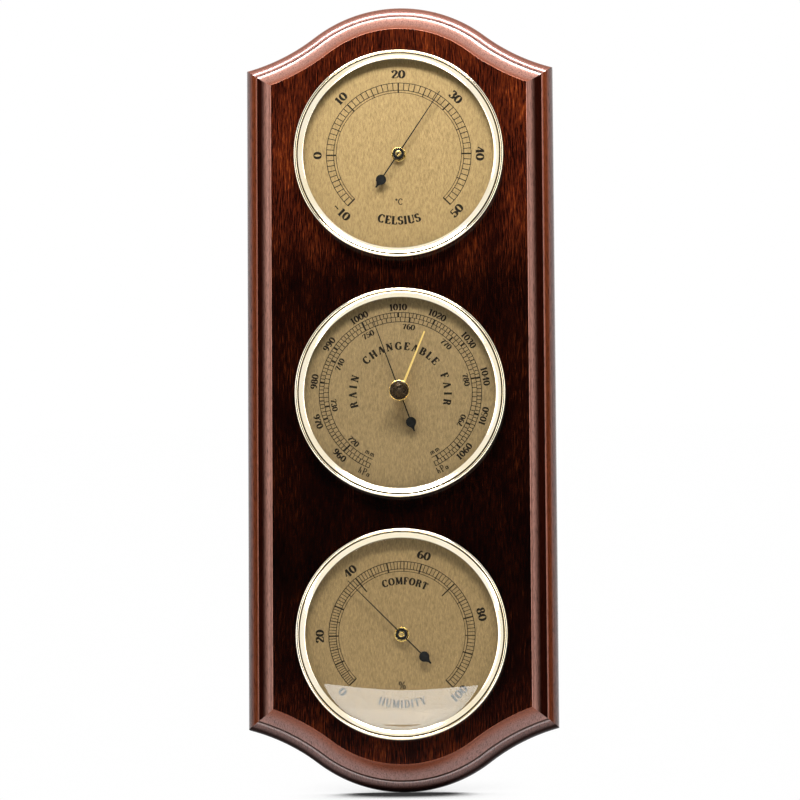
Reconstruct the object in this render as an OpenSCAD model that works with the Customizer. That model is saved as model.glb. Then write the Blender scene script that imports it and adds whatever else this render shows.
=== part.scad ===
// Wall weather station: thermometer, barometer and hygrometer in a row on a moulded wooden board.
// X points right and Z up. The dials face -Y, and Y = 0 is the wall behind the board.
// The origin is the centre of the hanging hole, in the back face of the board.
// Every piece is drawn lying on its back, with its height measured from the wall, and then stood up.

/* [Board] */
// Width of the board
board_w = 150; // [146:1:160]
// Thickness of the board
board_t = 22; // [22:0.5:26]
// Distance from an outer dial's centre to the nearer apex of the board
end_reach = 75; // [73:0.5:84]
// Radius of the arched crown at each end
crown_r = 68.6; // [62:0.2:71]
// Radius of the hollow shoulders beside each crown
shoulder_r = 94.6; // [84:0.2:110]
// How far the corners lie below the apex
corner_drop = 30.5; // [28:0.5:33]

/* [Moulding] */
// Radius of the rounded bead along the outer edge
bead_r = 4.6; // [3.8:0.1:5.2]
// Width of the sloping step between the bead and the cove
step_w = 0.75; // [0.5:0.05:1.2]
// Height of the sloping step
step_h = 1.3; // [0.8:0.1:1.8]
// Width of the hollow cove beside the flat panel
cove_w = 7; // [5.5:0.1:7.5]
// Slope of the cove at its foot, in degrees
cove_foot = 15; // [10:1:20]
// Slope of the cove where it meets the panel, in degrees
cove_head = 80; // [75:1:84]

/* [Hanger] */
// Distance from the upper apex down to the hanging hole
hanger_drop = 20; // [19:0.5:24]
// Radius of the hole that passes the wall screw's head
key_r = 4.5; // [4:0.1:5]
// Width of the neck that holds the wall screw
neck_w = 4.6; // [4:0.1:5]
// Length of the neck, from the hole's centre to the end's centre
neck_l = 7; // [6:0.5:8]
// Width of the hanger plate
plate_w = 40; // [38:1:42]
// Thickness of the hanger plate
plate_t = 1.2; // [1:0.1:2]
// Depth of the pocket behind the plate
pocket_d = 8; // [6:0.5:10]
// Radius of the wood screws' shanks
wood_screw_r = 1.5; // [1.2:0.1:1.8]
// Length of the wood screws in the wood
wood_screw_l = 12; // [10:1:14]

/* [Instruments] */
// Distance from one dial's centre to the next
dial_pitch = 117; // [112:1:125]
// Outer diameter of the bezels
bezel_d = 102; // [99:0.5:106]
// Outer diameter of the case barrels
case_d = 87; // [84:0.5:88]
// Gap between a barrel and its hole in the board
case_gap = 1.5; // [1.2:0.1:1.6]
// How far the cases' backs lie in front of the wall
case_inset = 2; // [1.6:0.1:2.2]
// Thickness of the sheet metal of the cases
sheet_t = 0.5; // [0.4:0.05:0.6]
// Thickness of the dials
dial_t = 0.4; // [0.3:0.05:0.6]
// Height of the ring between a dial and its glass
spacer_h = 2.7; // [2.6:0.1:3.2]
// Thickness of the glasses
glass_t = 1.2; // [1:0.1:1.4]
// Rise of the domed glasses at the centre
dome_rise = 3.2; // [3:0.1:4.5]

/* [Bezel] */
// Diameter of the rounded bead at the bezel's rim
rim_bead = 1.5; // [1.3:0.1:2.2]
// Width of the groove inside the bead
groove_w = 0.45; // [0.4:0.05:0.9]
// Width of the polished slope inside the groove
slope_w = 2.55; // [2:0.05:2.8]
// Rise of the slope from its inner lip to its crest
slope_rise = 0.95; // [0.8:0.05:1.1]
// Thickness of the lip over the glass
lip_t = 0.35; // [0.3:0.05:0.5]
// Thickness of the bezel's outer wall
bezel_t = 0.9; // [0.7:0.05:1]

/* [Pointers] */
// Radius of the pointer arbors
arbor_r = 0.8; // [0.7:0.05:0.9]
// Length of a pointer from the centre to its tip
pointer_l = 36.6; // [34:0.2:38]
// Distance from the centre to the middle of the tail's spade
tail_l = 15.4; // [13:0.2:17]
// Radius of the spade
spade_r = 2.5; // [2.1:0.1:2.9]
// Length of the spade's point from its middle
spade_point = 4.3; // [3.8:0.1:4.8]
// Thickness of the pointers' sheet
pointer_t = 0.25; // [0.2:0.05:0.4]
// Radius of the pointers' black hubs
hub_r = 2.75; // [2.4:0.05:3.1]
// Height of the pointers above their dials
pointer_rise = 3; // [2.8:0.05:3.1]
// Height of the hubs' black bosses under the pointers
hub_h = 0.6; // [0.5:0.1:1]
// Radius of the brass bush at the centre of each dial
bush_r = 3.6; // [3.3:0.1:4]
// Thickness of the bush's flange over the dial
bush_t = 0.6; // [0.4:0.05:0.7]
// Length of the set hand from the centre to its tip
set_hand_l = 32; // [29:0.2:34]
// Diameter of the setting knob
knob_d = 9.8; // [8.5:0.1:11]
// Height of the knob's knurled grip
grip_h = 3.4; // [2.6:0.1:4.4]
// Height of the knob's pointed front
cone_h = 5.2; // [4:0.1:6]
// Ribs round the knob's grip
knob_ribs = 40; // [30:2:48]
// Radius of the knob's stem through the glass
stem_r = 1.5; // [1.2:0.05:1.8]

/* [Readings] */
// Reading of the thermometer in degrees Celsius
thermo_reading = 27.5; // [-10:0.5:50]
// Reading of the barometer in hectopascals
baro_reading = 1003; // [960:1:1060]
// Pressure that the set hand marks, in hectopascals
set_reading = 1018.7; // [960:0.1:1060]
// Bearing of the hygrometer's pointer from the top of the dial, in degrees
hygro_bearing = -44.7; // [-133:0.1:136]

/* [Movements] */
// Thickness of the movements' brass plates
frame_t = 1.2; // [1:0.1:1.4]
// Height of the gears above the base plate
gear_rise = 13; // [12.6:0.1:13.4]
// Thickness of the toothed sectors
sector_t = 1; // [0.8:0.05:1.2]
// Teeth of a whole wheel of which the sector is a part
sector_teeth = 144; // [138:6:150]
// Teeth of the pinions
pinion_teeth = 12; // [11:1:13]
// Pitch of the teeth, as pitch diameter over tooth count
gear_module = 0.3; // [0.29:0.005:0.31]
// Radius of the aneroid capsule
capsule_r = 15; // [13:0.5:15.5]
// Height of the capsule
capsule_h = 5.6; // [5:0.1:6]
// Distance from the sector's centre to its driven crank
crank_l = 3; // [2.8:0.1:3.4]
// Radius of the adjusting screws' shanks
adjuster_r = 1.5; // [1.3:0.1:1.7]
// Turns of the bimetal coil
coil_turns = 4; // [3:1:5]
// Outer radius of the bimetal coil
coil_r = 13; // [11:0.5:14]
// Width of the coil's strip
coil_h = 5; // [4:0.5:6]

/* [Hidden] */
$fn = 64;

// Clearance between pieces that seat on each other, and radial clearance of turning shafts
gap = 0.3;
run = 0.05;
// Thickness that a cutting tool stands proud of what it cuts
over = 1;

// Colours
mahogany = [0.24, 0.09, 0.05];
gold = [0.85, 0.68, 0.32];
champagne = [0.78, 0.67, 0.45];
brass = [0.72, 0.55, 0.25];
steel = [0.62, 0.63, 0.65];
black = [0.05, 0.05, 0.06];
clear = [0.85, 0.92, 0.95, 0.25];
hair = [0.78, 0.7, 0.52];

// Places of the dials and of the board along Z, from the hanging hole
apex_y = hanger_drop;
thermo_y = apex_y - end_reach;
baro_y = thermo_y - dial_pitch;
hygro_y = baro_y - dial_pitch;
half_h = dial_pitch + end_reach;

// Plan of the board, from its centre: the crown and the shoulders touch each other smoothly
half_w = board_w / 2;
crown_y = half_h - crown_r;
corner_y = half_h - corner_drop;
to_corner = norm([half_w, corner_y - crown_y]);
reach = crown_r + shoulder_r;
along = (reach * reach - shoulder_r * shoulder_r + to_corner * to_corner) / (2 * to_corner);
aside = sqrt(reach * reach - along * along);
corner_dir = [half_w, corner_y - crown_y] / to_corner;
shoulder_x = along * corner_dir[0] - aside * corner_dir[1];
shoulder_y = crown_y + along * corner_dir[1] + aside * corner_dir[0];
meet_x = shoulder_x * crown_r / reach;
meet_y = crown_y + (shoulder_y - crown_y) * crown_r / reach;
meet_angle = atan2(shoulder_y - crown_y, shoulder_x);
corner_angle = atan2(shoulder_y - corner_y, shoulder_x - half_w);

// Section of the moulding: distances in from the edge and heights from the wall
cove_u = bead_r + step_w;
mould_w = cove_u + cove_w;
cove_r = cove_w / (sin(cove_head) - sin(cove_foot));
cove_low = board_t - cove_r * (cos(cove_foot) - cos(cove_head));
cove_mid = [cove_u - cove_r * sin(cove_foot), cove_low + cove_r * cos(cove_foot)];
bead_top = cove_low - step_h;
bead_mid = bead_top - bead_r;
arc_n = 8;
mitre_lift = 0.005;

// Heights of the instruments' layers from the wall
floor_h = case_inset + sheet_t;
seat_h = board_t + sheet_t;
dial_h = seat_h + dial_t;
pane_h = dial_h + spacer_h;
pane_top = pane_h + glass_t;
lip_h = pane_top + lip_t;
crest_h = lip_h + slope_rise;

// Radii of the instruments
bezel_r = bezel_d / 2;
groove_ro = bezel_r - rim_bead;
groove_ri = groove_ro - groove_w;
lip_r = groove_ri - slope_w;
wall_ro = bezel_r - 0.5;
wall_ri = wall_ro - bezel_t;
flange_r = wall_ri - gap;
pane_r = flange_r - 0.5;
dial_r = pane_r - gap;
dome_r = lip_r - 0.2;
dome_ball = (dome_r * dome_r + dome_rise * dome_rise) / (2 * dome_rise);
case_r = case_d / 2;
hole_r = case_r + case_gap;
room_r = case_r - sheet_t;
plate_r = room_r - 3;
fitting_inset = 10;

// Levels in the movements
base_top = floor_h + frame_t;
gear_h = base_top + gear_rise;
gear_top = gear_h + sector_t;
pinion_t = sector_t + 0.5;
bridge_h = gear_top + 0.8;
bridge_top = bridge_h + frame_t;
pointer_h = dial_h + pointer_rise;
pointer_top = pointer_h + pointer_t;
rivet_t = 0.4;
low_rivet_t = 0.15;
set_hand_h = pointer_top + low_rivet_t + gap;
collar_top = pane_h + dome_rise - gap;

// Gears: the sector turns on its own arbor to the lower left of the dial's centre
pinion_r = gear_module * pinion_teeth / 2;
sector_r = gear_module * sector_teeth / 2;
sector_dir = 225;
sector_at = (pinion_r + sector_r) * [cos(sector_dir), sin(sector_dir)];
sector_step = 360 / sector_teeth;
sector_side = ceil(17 / sector_step);
tooth_root = gear_module * (0.18 * PI + 1.2 * tan(20));
tooth_tip = gear_module * (0.18 * PI - 0.8 * tan(20));
crank_w = 1.6;
finger_w = 1;
crank_at = sector_at + [crank_l, 0];
pillar_at = [[sector_at[0] - 13.5, sector_at[1] + 11], [24, 14]];
pillar_r = 2.2;
boss_r = 4;
arm_w = 7;

// The barometer's capsule and the rocking shaft that it moves
arm_t = 1;
rocker_y = crank_at[1] - crank_w / 2 - gap - arm_t / 2;
shaft_r = 1;
foot_l = 3;
lug_t = 2;
lug_w = 4;
lug_end = sqrt(plate_r * plate_r - pow(lug_w / 2 - rocker_y, 2)) - gap;
lug_x = [crank_at[0] + crank_w / 2 + 0.5, lug_end - lug_t];
capsule_at = [lug_x[1] - 2 * gap - capsule_r, rocker_y + foot_l];
capsule_seat = 0.6;
stud_h = 0.8;
capsule_top = base_top + capsule_seat + capsule_h + stud_h;
foot_h = capsule_top + gap;
shaft_h = foot_h + 1.5;

// Parts of the hygrometer's and thermometer's movements
hair_r = 0.35;
hair_h = base_top + 6;
anchor_at = [crank_at[0], plate_r - fitting_inset];
anchor_w = 5;
collet_r = 2;
coil_t = 0.4;
coil_low = floor_h + frame_t + 4;
adjuster_head = adjuster_r + 0.9;

// Small fittings
plate_end = 10;
plate_y = 3;
screw_x = plate_w / 2 - 6.5;
vent_ring = plate_r - fitting_inset;
vent_r = 2;
clip_t = 0.4;
bush_neck = 2.2;
rivet_r = 1.55;
tip_r = 0.4;
stud_r = 6.3;
neck_h = 1.1;

// Scales: the reading at the top of the dial and the degrees for each unit, and the pointers' bearings
thermo_top = 20;
thermo_step = 4.5;
baro_top = 1010.43;
baro_step = 2.683;
thermo_turn = (thermo_reading - thermo_top) * thermo_step;
baro_turn = (baro_reading - baro_top) * baro_step;
set_turn = (set_reading - baro_top) * baro_step;

// Stands the drawing up: its height above the wall becomes depth towards the viewer
module stand(y = 0) {
    rotate([90, 0, 0]) translate([0, y, 0]) children();
}

// A flat shape from one height above the wall to another
module slab(low, high) {
    translate([0, 0, low]) linear_extrude(high - low) children();
}

// A round post at a place on the dial, or at its centre, between two heights
module post(at, r, low, high) {
    translate([at[0], at[1], low]) cylinder(r = r, h = high - low);
}
module disc(r, low, high) {
    translate([0, 0, low]) cylinder(r = r, h = high - low);
}

// A flat link with round ends
module link(a, b, w) {
    d = b - a;
    translate(a) rotate(atan2(d[1], d[0])) translate([0, -w / 2]) square([norm(d), w]);
    translate(a) circle(w / 2);
    translate(b) circle(w / 2);
}

// A flat spiral strip that winds out from one radius to another
module spiral(r0, r1, turns, t, low, high) {
    n = turns * 20;
    function arm(i, side) = (r0 + (r1 - r0) * i / n + side * t / 2)
        * [cos(360 * turns * i / n), sin(360 * turns * i / n)];
    slab(low, high) polygon(concat([for (i = [0:n]) arm(i, 1)], [for (i = [n:-1:0]) arm(i, -1)]));
}

// Outline points of gear teeth, one step apart, on a wheel of the given pitch radius
function polar(r, half, a) = [r * cos(a + half / r * 180 / PI), r * sin(a + half / r * 180 / PI)];
function teeth(r, step, first, last) = [for (i = [first:last])
    each [polar(r - 1.2 * gear_module, -tooth_root, i * step),
        polar(r + 0.8 * gear_module, -tooth_tip, i * step),
        polar(r + 0.8 * gear_module, tooth_tip, i * step),
        polar(r - 1.2 * gear_module, tooth_root, i * step)]];

// Plan of the board, from its centre
module board_plan() {
    difference() {
        union() {
            polygon([[-half_w, -corner_y], [-meet_x, -meet_y], [meet_x, -meet_y], [half_w, -corner_y],
                [half_w, corner_y], [meet_x, meet_y], [-meet_x, meet_y], [-half_w, corner_y]]);
            for (s = [-1, 1]) translate([0, s * crown_y]) circle(crown_r);
        }
        for (sx = [-1, 1], sy = [-1, 1]) translate([sx * shoulder_x, sy * shoulder_y]) circle(shoulder_r);
    }
}

// Section of what the moulding cutter takes away above the bead, the step and the cove, with the edge at 0
function bead_at(i) = [bead_r, bead_mid] + bead_r * [-cos(90 * i / arc_n), sin(90 * i / arc_n)];
function cove_slope(i) = cove_foot + (cove_head - cove_foot) * i / arc_n;
function cove_at(i) = cove_mid + cove_r * [sin(cove_slope(i)), -cos(cove_slope(i))];
module cutter() {
    bead = concat([2 * bead_at(0) - bead_at(1)], [for (i = [1:arc_n]) bead_at(i)]);
    cove = concat([for (i = [0:arc_n - 1]) cove_at(i)], [2 * cove_at(arc_n) - cove_at(arc_n - 1)]);
    top = board_t + 2 * over;
    polygon(concat(bead, cove, [[cove[arc_n][0], top], [-over, top], [-over, bead[0][1]]]));
}

// The cutter's paths: along both sides, round the four shoulders and over the two crowns.
// The curved paths lie a hair higher, so that the mitres at the corners cross cleanly.
module moulding_cut() {
    for (s = [0, 1]) mirror([s, 0, 0]) translate([half_w, half_h, 0]) rotate([90, 0, 0])
        linear_extrude(2 * half_h) mirror([1, 0]) cutter();
    for (sx = [0, 1], sy = [0, 1]) mirror([sx, 0, 0]) mirror([0, sy, 0])
        translate([shoulder_x, shoulder_y, mitre_lift]) rotate([0, 0, 180 + meet_angle])
            rotate_extrude(angle = corner_angle - meet_angle + 3) translate([shoulder_r, 0]) cutter();
    for (s = [0, 1]) mirror([0, s, 0]) translate([0, crown_y, mitre_lift]) rotate([0, 0, meet_angle])
        rotate_extrude(angle = 180 - 2 * meet_angle) translate([crown_r, 0]) mirror([1, 0]) cutter();
}

module backboard() {
    color(mahogany) stand() difference() {
        translate([0, baro_y, 0]) difference() {
            linear_extrude(board_t) board_plan();
            moulding_cut();
        }
        for (y = [thermo_y, baro_y, hygro_y]) post([0, y], hole_r, -over, board_t + over);
        slab(-over, plate_t) hanger_plan();
        slab(-over, plate_t + pocket_d) key_plan(key_r + 1.5);
        for (s = [-1, 1])
            post([s * screw_x, plate_y], wood_screw_r + run, -over, plate_t + wood_screw_l + gap);
    }
}

// Outline of the hanger plate, and of the keyhole with room for a screw head of the given radius
module hanger_plan(ease = 0) {
    link([-plate_w / 2 + plate_end, plate_y], [plate_w / 2 - plate_end, plate_y], 2 * (plate_end - ease));
}
module key_plan(r) {
    circle(r);
    link([0, 0], [0, neck_l], min(2 * r, neck_w + 2 * (r - key_r)));
}

module hanger_plate() {
    color(steel) stand() difference() {
        slab(0, plate_t) hanger_plan(0.1);
        slab(-over, plate_t + over) key_plan(key_r);
        for (s = [-1, 1]) translate([s * screw_x, plate_y, 0]) countersink(wood_screw_r + 0.2);
    }
}
module countersink(r) {
    translate([0, 0, -over]) cylinder(r = r, h = plate_t + 2 * over);
    translate([0, 0, -0.01]) cylinder(r1 = r + plate_t, r2 = r, h = plate_t);
}

module hanger_screws() {
    head_t = plate_t - 0.1;
    color(brass) stand() for (s = [-1, 1]) translate([s * screw_x, plate_y, 0]) difference() {
        union() {
            translate([0, 0, 0.1]) cylinder(r1 = wood_screw_r + head_t, r2 = wood_screw_r, h = head_t);
            translate([0, 0, plate_t]) cylinder(r = wood_screw_r, h = wood_screw_l);
        }
        translate([-wood_screw_r * 2, -0.3, 0]) cube([wood_screw_r * 4, 0.6, 0.5]);
    }
}

// Ring of air holes
module vent_holes() {
    for (i = [0:7]) rotate(i * 45) post([vent_ring, 0], vent_r, 0, base_top + over);
}

// Case: a drawn cup whose flange lies on the board, with holes through its back
module case(y, vents, adjuster) {
    color(brass) stand(y) difference() {
        rotate_extrude() polygon([[0, case_inset], [case_r - 1, case_inset], [case_r, case_inset + 1],
            [case_r, board_t], [flange_r, board_t], [flange_r, seat_h], [room_r, seat_h],
            [room_r, floor_h + 0.8], [room_r - 0.8, floor_h], [0, floor_h]]);
        if (vents) vent_holes();
        if (len(adjuster) > 0) post(adjuster, adjuster_head + gap, 0, floor_h + over);
    }
}

// Three spring leaves that hold a case in its hole
module clips(y) {
    low = case_inset + 0.15 * (board_t - case_inset);
    high = board_t - 0.25 * (board_t - case_inset);
    mid = (low + high) / 2;
    color(steel) stand(y) for (a = [90, 210, 330]) rotate(a - 5) rotate_extrude(angle = 10)
        polygon([[case_r + 0.05, low], [case_r + clip_t, low], [hole_r - gap, mid - 1],
            [hole_r - gap, mid + 1], [case_r + clip_t, high], [case_r + 0.05, high],
            [case_r + 0.05, high - 0.7], [hole_r - gap - clip_t, mid + 0.8],
            [hole_r - gap - clip_t, mid - 0.8], [case_r + 0.05, low + 0.7]]);
}

module dial(y) {
    color(champagne) stand(y) difference() {
        disc(dial_r, seat_h, dial_h);
        disc(bush_neck + run, 0, crest_h);
    }
}

// Ring that keeps the glass off the dial
module spacer(y) {
    color(champagne) stand(y) difference() {
        disc(pane_r, dial_h, pane_h);
        disc(lip_r + 0.5, 0, crest_h);
    }
}

// Domed glass with a flat rim, bored at the centre where a stem passes through it
module glass(y, bore) {
    color(clear) stand(y) difference() {
        rotate_extrude() {
            translate([dome_r - 1, pane_h]) square([pane_r - dome_r + 1, glass_t]);
            intersection() {
                translate([0, pane_h]) square([dome_r, glass_t + dome_rise + over]);
                translate([0, pane_top + dome_rise - dome_ball]) difference() {
                    circle(dome_ball);
                    circle(dome_ball - glass_t);
                }
            }
        }
        if (bore > 0) disc(bore, 0, pane_top + dome_rise + over);
    }
}

// Bezel: an outer wall on the board, a rounded rim, a groove and a polished slope over the glass
module bezel(y) {
    rim_h = crest_h - rim_bead / 2;
    color(gold) stand(y) rotate_extrude() {
        polygon([[wall_ri, board_t], [wall_ro, board_t], [wall_ro, rim_h], [groove_ro, rim_h],
            [groove_ro, lip_h], [groove_ri, lip_h], [groove_ri, crest_h], [lip_r, lip_h],
            [lip_r, pane_top], [wall_ri, pane_top]]);
        translate([bezel_r - rim_bead / 2, rim_h]) circle(rim_bead / 2);
    }
}

// Bush riveted into the dial, in which the arbor turns
module bush(y) {
    color(brass) stand(y) difference() {
        union() {
            disc(bush_r, dial_h, dial_h + bush_t);
            disc(bush_neck, seat_h, dial_h);
            disc(bush_r - 0.4, seat_h - bush_t, seat_h);
        }
        disc(arbor_r + run, 0, crest_h);
    }
}

// Arbor that carries a pointer on its end, with its collet or pinion
module arbor(y, rivet) {
    color(brass) stand(y) difference() {
        union() {
            disc(arbor_r, floor_h + gap, pointer_top + rivet);
            disc(rivet_r, pointer_top, pointer_top + rivet);
            children();
        }
        disc(arbor_r * 0.6, pointer_top + rivet - 0.1, crest_h);
    }
}

// Pinion on an arbor, with a gap between two teeth facing the sector
module pinion() {
    step = 360 / pinion_teeth;
    slab(gear_h - 0.25, gear_h - 0.25 + pinion_t)
        polygon([for (p = teeth(pinion_r, step, 0, pinion_teeth - 1)) turn(p, sector_dir + step / 2)]);
    disc(collet_r - 0.6, bridge_top + gap, bridge_top + gap + 1);
}
function turn(p, a) = [p[0] * cos(a) - p[1] * sin(a), p[0] * sin(a) + p[1] * cos(a)];

// Pointer: a long thin needle, a round hub, and a spade with a drawn-out point on its tail
module pointer(y, bearing) {
    curve_r = (spade_point * spade_point - spade_r * spade_r + tip_r * tip_r) / (2 * (spade_r - tip_r));
    share = spade_r / (spade_r + curve_r);
    color(black) stand(y) rotate(-bearing) difference() {
        union() {
            slab(pointer_h, pointer_top) {
                polygon([[-0.32, 0], [0.32, 0], [0.18, pointer_l], [-0.18, pointer_l]]);
                translate([-0.3, -tail_l]) square([0.6, tail_l]);
                translate([0, -tail_l]) circle(spade_r);
                translate([0, -tail_l]) difference() {
                    polygon([[-(tip_r + curve_r) * share, -spade_point * share],
                        [(tip_r + curve_r) * share, -spade_point * share],
                        [tip_r, -spade_point], [-tip_r, -spade_point]]);
                    for (s = [-1, 1]) translate([s * (tip_r + curve_r), -spade_point]) circle(curve_r);
                }
                translate([0, -tail_l - spade_point]) circle(tip_r);
            }
            disc(hub_r, pointer_h - hub_h, pointer_top);
        }
        disc(arbor_r + 0.02, 0, crest_h);
    }
}

// Base plate on the floor of a case, bored for the arbors and the adjusting screw
module base_plate(r, bores, adjuster) {
    difference() {
        disc(r, floor_h, base_top);
        for (b = bores) post(b, arbor_r + run, 0, base_top + over);
        if (len(adjuster) > 0) post(adjuster, adjuster_r + run, 0, base_top + over);
    }
}

// Bridge over the gears on two pillars: narrow arms between round bosses
module arm(a, b) {
    d = b - a;
    translate(a) rotate(atan2(d[1], d[0])) translate([0, -arm_w / 2]) square([norm(d), arm_w]);
}
module bridge(y) {
    color(brass) stand(y) difference() {
        union() {
            slab(bridge_h, bridge_top) {
                arm(pillar_at[0], sector_at);
                arm(sector_at, [0, 0]);
                arm([0, 0], pillar_at[1]);
                for (p = [pillar_at[0], sector_at, [0, 0], pillar_at[1]]) translate(p) circle(boss_r);
            }
            for (p = pillar_at) post(p, pillar_r, base_top, bridge_h);
            for (p = pillar_at) post(p, pillar_r + 0.8, bridge_top, bridge_top + 1);
            post([stud_r, 0], 0.5, bridge_top, bridge_top + 1.6);
        }
        for (b = [[0, 0], sector_at]) post(b, arbor_r + run, 0, crest_h);
        for (p = pillar_at) translate([p[0] - pillar_r - 1, p[1] - 0.3, bridge_top + 0.5])
            cube([2 * pillar_r + 2, 0.6, 1]);
    }
}

// Toothed sector on its arbor, with a crank at the level of the piece that drives it
module sector(y, crank_low, crank_high) {
    half = sector_side * sector_step;
    color(brass) stand(y) translate(sector_at) {
        rotate(sector_dir - 180) slab(gear_h, gear_top) difference() {
            union() {
                polygon(concat([[0, 0]], teeth(sector_r, sector_step, -sector_side, sector_side)));
                circle(collet_r);
            }
            polygon([for (p = [[7, -1], [sector_r - 3, -1], [sector_r - 3, 0], [sector_r - 3, 1], [7, 1]])
                p[0] * [cos(p[1] * (half - 5)), sin(p[1] * (half - 5))]]);
        }
        disc(arbor_r, floor_h + gap, bridge_top);
        slab(crank_low, crank_high) link([0, 0], [crank_l, 0], crank_w);
        disc(collet_r - 0.2, crank_low, crank_high);
    }
}

// Fine return spring round a pinion's arbor
module hairspring(y) {
    low = bridge_top + gap;
    color(steel) stand(y) spiral(collet_r - 0.2, stud_r - 0.8, 4, 0.2, low, low + 0.9);
}

// Slotted adjusting screw that is reached from behind
module adjuster(y, at, top) {
    color(brass) stand(y) difference() {
        union() {
            post(at, adjuster_head, case_inset - 0.8, floor_h - 0.1);
            post(at, adjuster_r, case_inset - 0.8, top);
        }
        translate([at[0] - 3, at[1] - 0.35, case_inset - 0.8 - over]) cube([6, 0.7, 0.6 + over]);
    }
}

// Thermometer: the bimetal coil turns the arbor against its post
module thermo_plate() {
    color(brass) stand(thermo_y) base_plate(coil_r + 6, [[0, 0]], []);
}
module thermo_post() {
    color(brass) stand(thermo_y) translate([coil_r + coil_t / 2 + gap, -2, base_top])
        cube([3, 4, coil_low + coil_h + 1 - base_top]);
}
module thermo_coil() {
    color(steel) stand(thermo_y)
        spiral(collet_r + gap + coil_t / 2, coil_r, coil_turns, coil_t, coil_low, coil_low + coil_h);
}
module thermo_arbor() {
    arbor(thermo_y, rivet_t) disc(collet_r, coil_low - 0.5, coil_low + coil_h + 0.5);
}

// Barometer: the capsule lifts the foot of the rocking shaft, whose arm pushes the sector's crank
module baro_plate() {
    color(brass) stand(baro_y) difference() {
        union() {
            base_plate(plate_r, [[0, 0], sector_at], capsule_at);
            for (x = lug_x) translate([x, rocker_y - lug_w / 2, base_top - 0.1])
                cube([lug_t, lug_w, shaft_h + shaft_r + 1 - base_top]);
        }
        translate([-case_r, rocker_y, shaft_h]) rotate([0, 90, 0]) cylinder(r = shaft_r + run, h = case_d);
    }
}
module baro_capsule() {
    seat = base_top + capsule_seat;
    color(brass) stand(baro_y) difference() {
        union() {
            post(capsule_at, capsule_r, seat, seat + capsule_h);
            post(capsule_at, 3, base_top + 0.1, seat);
            post(capsule_at, 2, seat + capsule_h, capsule_top);
        }
        for (r = [5, 8, 11]) for (z = [seat, seat + capsule_h])
            translate([capsule_at[0], capsule_at[1], z]) rotate_extrude() translate([r, 0]) circle(0.5);
        translate([capsule_at[0], capsule_at[1], seat + capsule_h / 2]) rotate_extrude()
            translate([capsule_r + 0.4, 0]) circle(1);
    }
}
module baro_rocker() {
    x = crank_at[0] - finger_w / 2;
    color(steel) stand(baro_y) {
        translate([x, rocker_y, shaft_h]) rotate([0, 90, 0])
            cylinder(r = shaft_r, h = lug_x[1] + lug_t - x + 0.5);
        translate([x, rocker_y - arm_t / 2, shaft_h]) cube([finger_w, arm_t, gear_top + gap - shaft_h]);
        translate([capsule_at[0] - 1, rocker_y, foot_h]) cube([2, foot_l + 1, 1.2]);
    }
}
module baro_arbor() {
    arbor(baro_y, low_rivet_t) pinion();
}
module baro_set_hand() {
    color(gold) stand(baro_y) rotate(-set_turn) {
        slab(set_hand_h, set_hand_h + pointer_t)
            polygon([[-0.55, 0], [0.55, 0], [0.35, set_hand_l], [-0.35, set_hand_l]]);
        disc(stem_r + 1.2, set_hand_h, collar_top);
    }
}
// Knob: a neck on the stem, a ribbed grip and a pointed front behind a thin rim
module baro_knob() {
    foot = pane_top + dome_rise + gap;
    rim_h = foot + neck_h + grip_h;
    rib = 0.25;
    color(brass) stand(baro_y) {
        disc(stem_r, collar_top, foot);
        disc(knob_d * 0.36, foot, foot + neck_h);
        slab(foot + neck_h, rim_h) polygon([for (i = [0:2 * knob_ribs - 1])
            (knob_d / 2 - 0.1 - rib * (i % 2)) * [cos(180 * i / knob_ribs), sin(180 * i / knob_ribs)]]);
        rotate_extrude() polygon([[0, rim_h], [knob_d / 2, rim_h], [knob_d / 2, rim_h + 0.4],
            [knob_d / 2 - 0.4, rim_h + 0.6], [0.5, rim_h + cone_h - 0.2], [0.3, rim_h + cone_h],
            [0, rim_h + cone_h]]);
    }
}

// Hygrometer: the hair bundle pulls the sector's crank, and the return spring keeps it taut
module hygro_plate() {
    color(brass) stand(hygro_y) difference() {
        base_plate(plate_r, [[0, 0], sector_at], anchor_at);
        vent_holes();
    }
}
module hygro_arbor() {
    arbor(hygro_y, rivet_t) pinion();
}
module hygro_sector() {
    crank_top = hair_h - 2 * hair_r;
    sector(hygro_y, crank_top - 1, crank_top) post([crank_l, 0], 0.5, crank_top, hair_h + 1);
}
module hygro_anchor() {
    color(brass) stand(hygro_y) difference() {
        translate([anchor_at[0] - anchor_w / 2, anchor_at[1] - anchor_w / 2, base_top])
            cube([anchor_w, anchor_w, hair_h + 2 - base_top]);
        post(anchor_at, adjuster_r + run, 0, base_top + 3);
    }
}
module hygro_hair() {
    low = sector_at[1] + 0.5 + gap;
    high = anchor_at[1] - anchor_w / 2 - gap;
    color(hair) stand(hygro_y) translate([crank_at[0], high, hair_h]) rotate([90, 0, 0])
        cylinder(r = hair_r, h = high - low);
}

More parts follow.
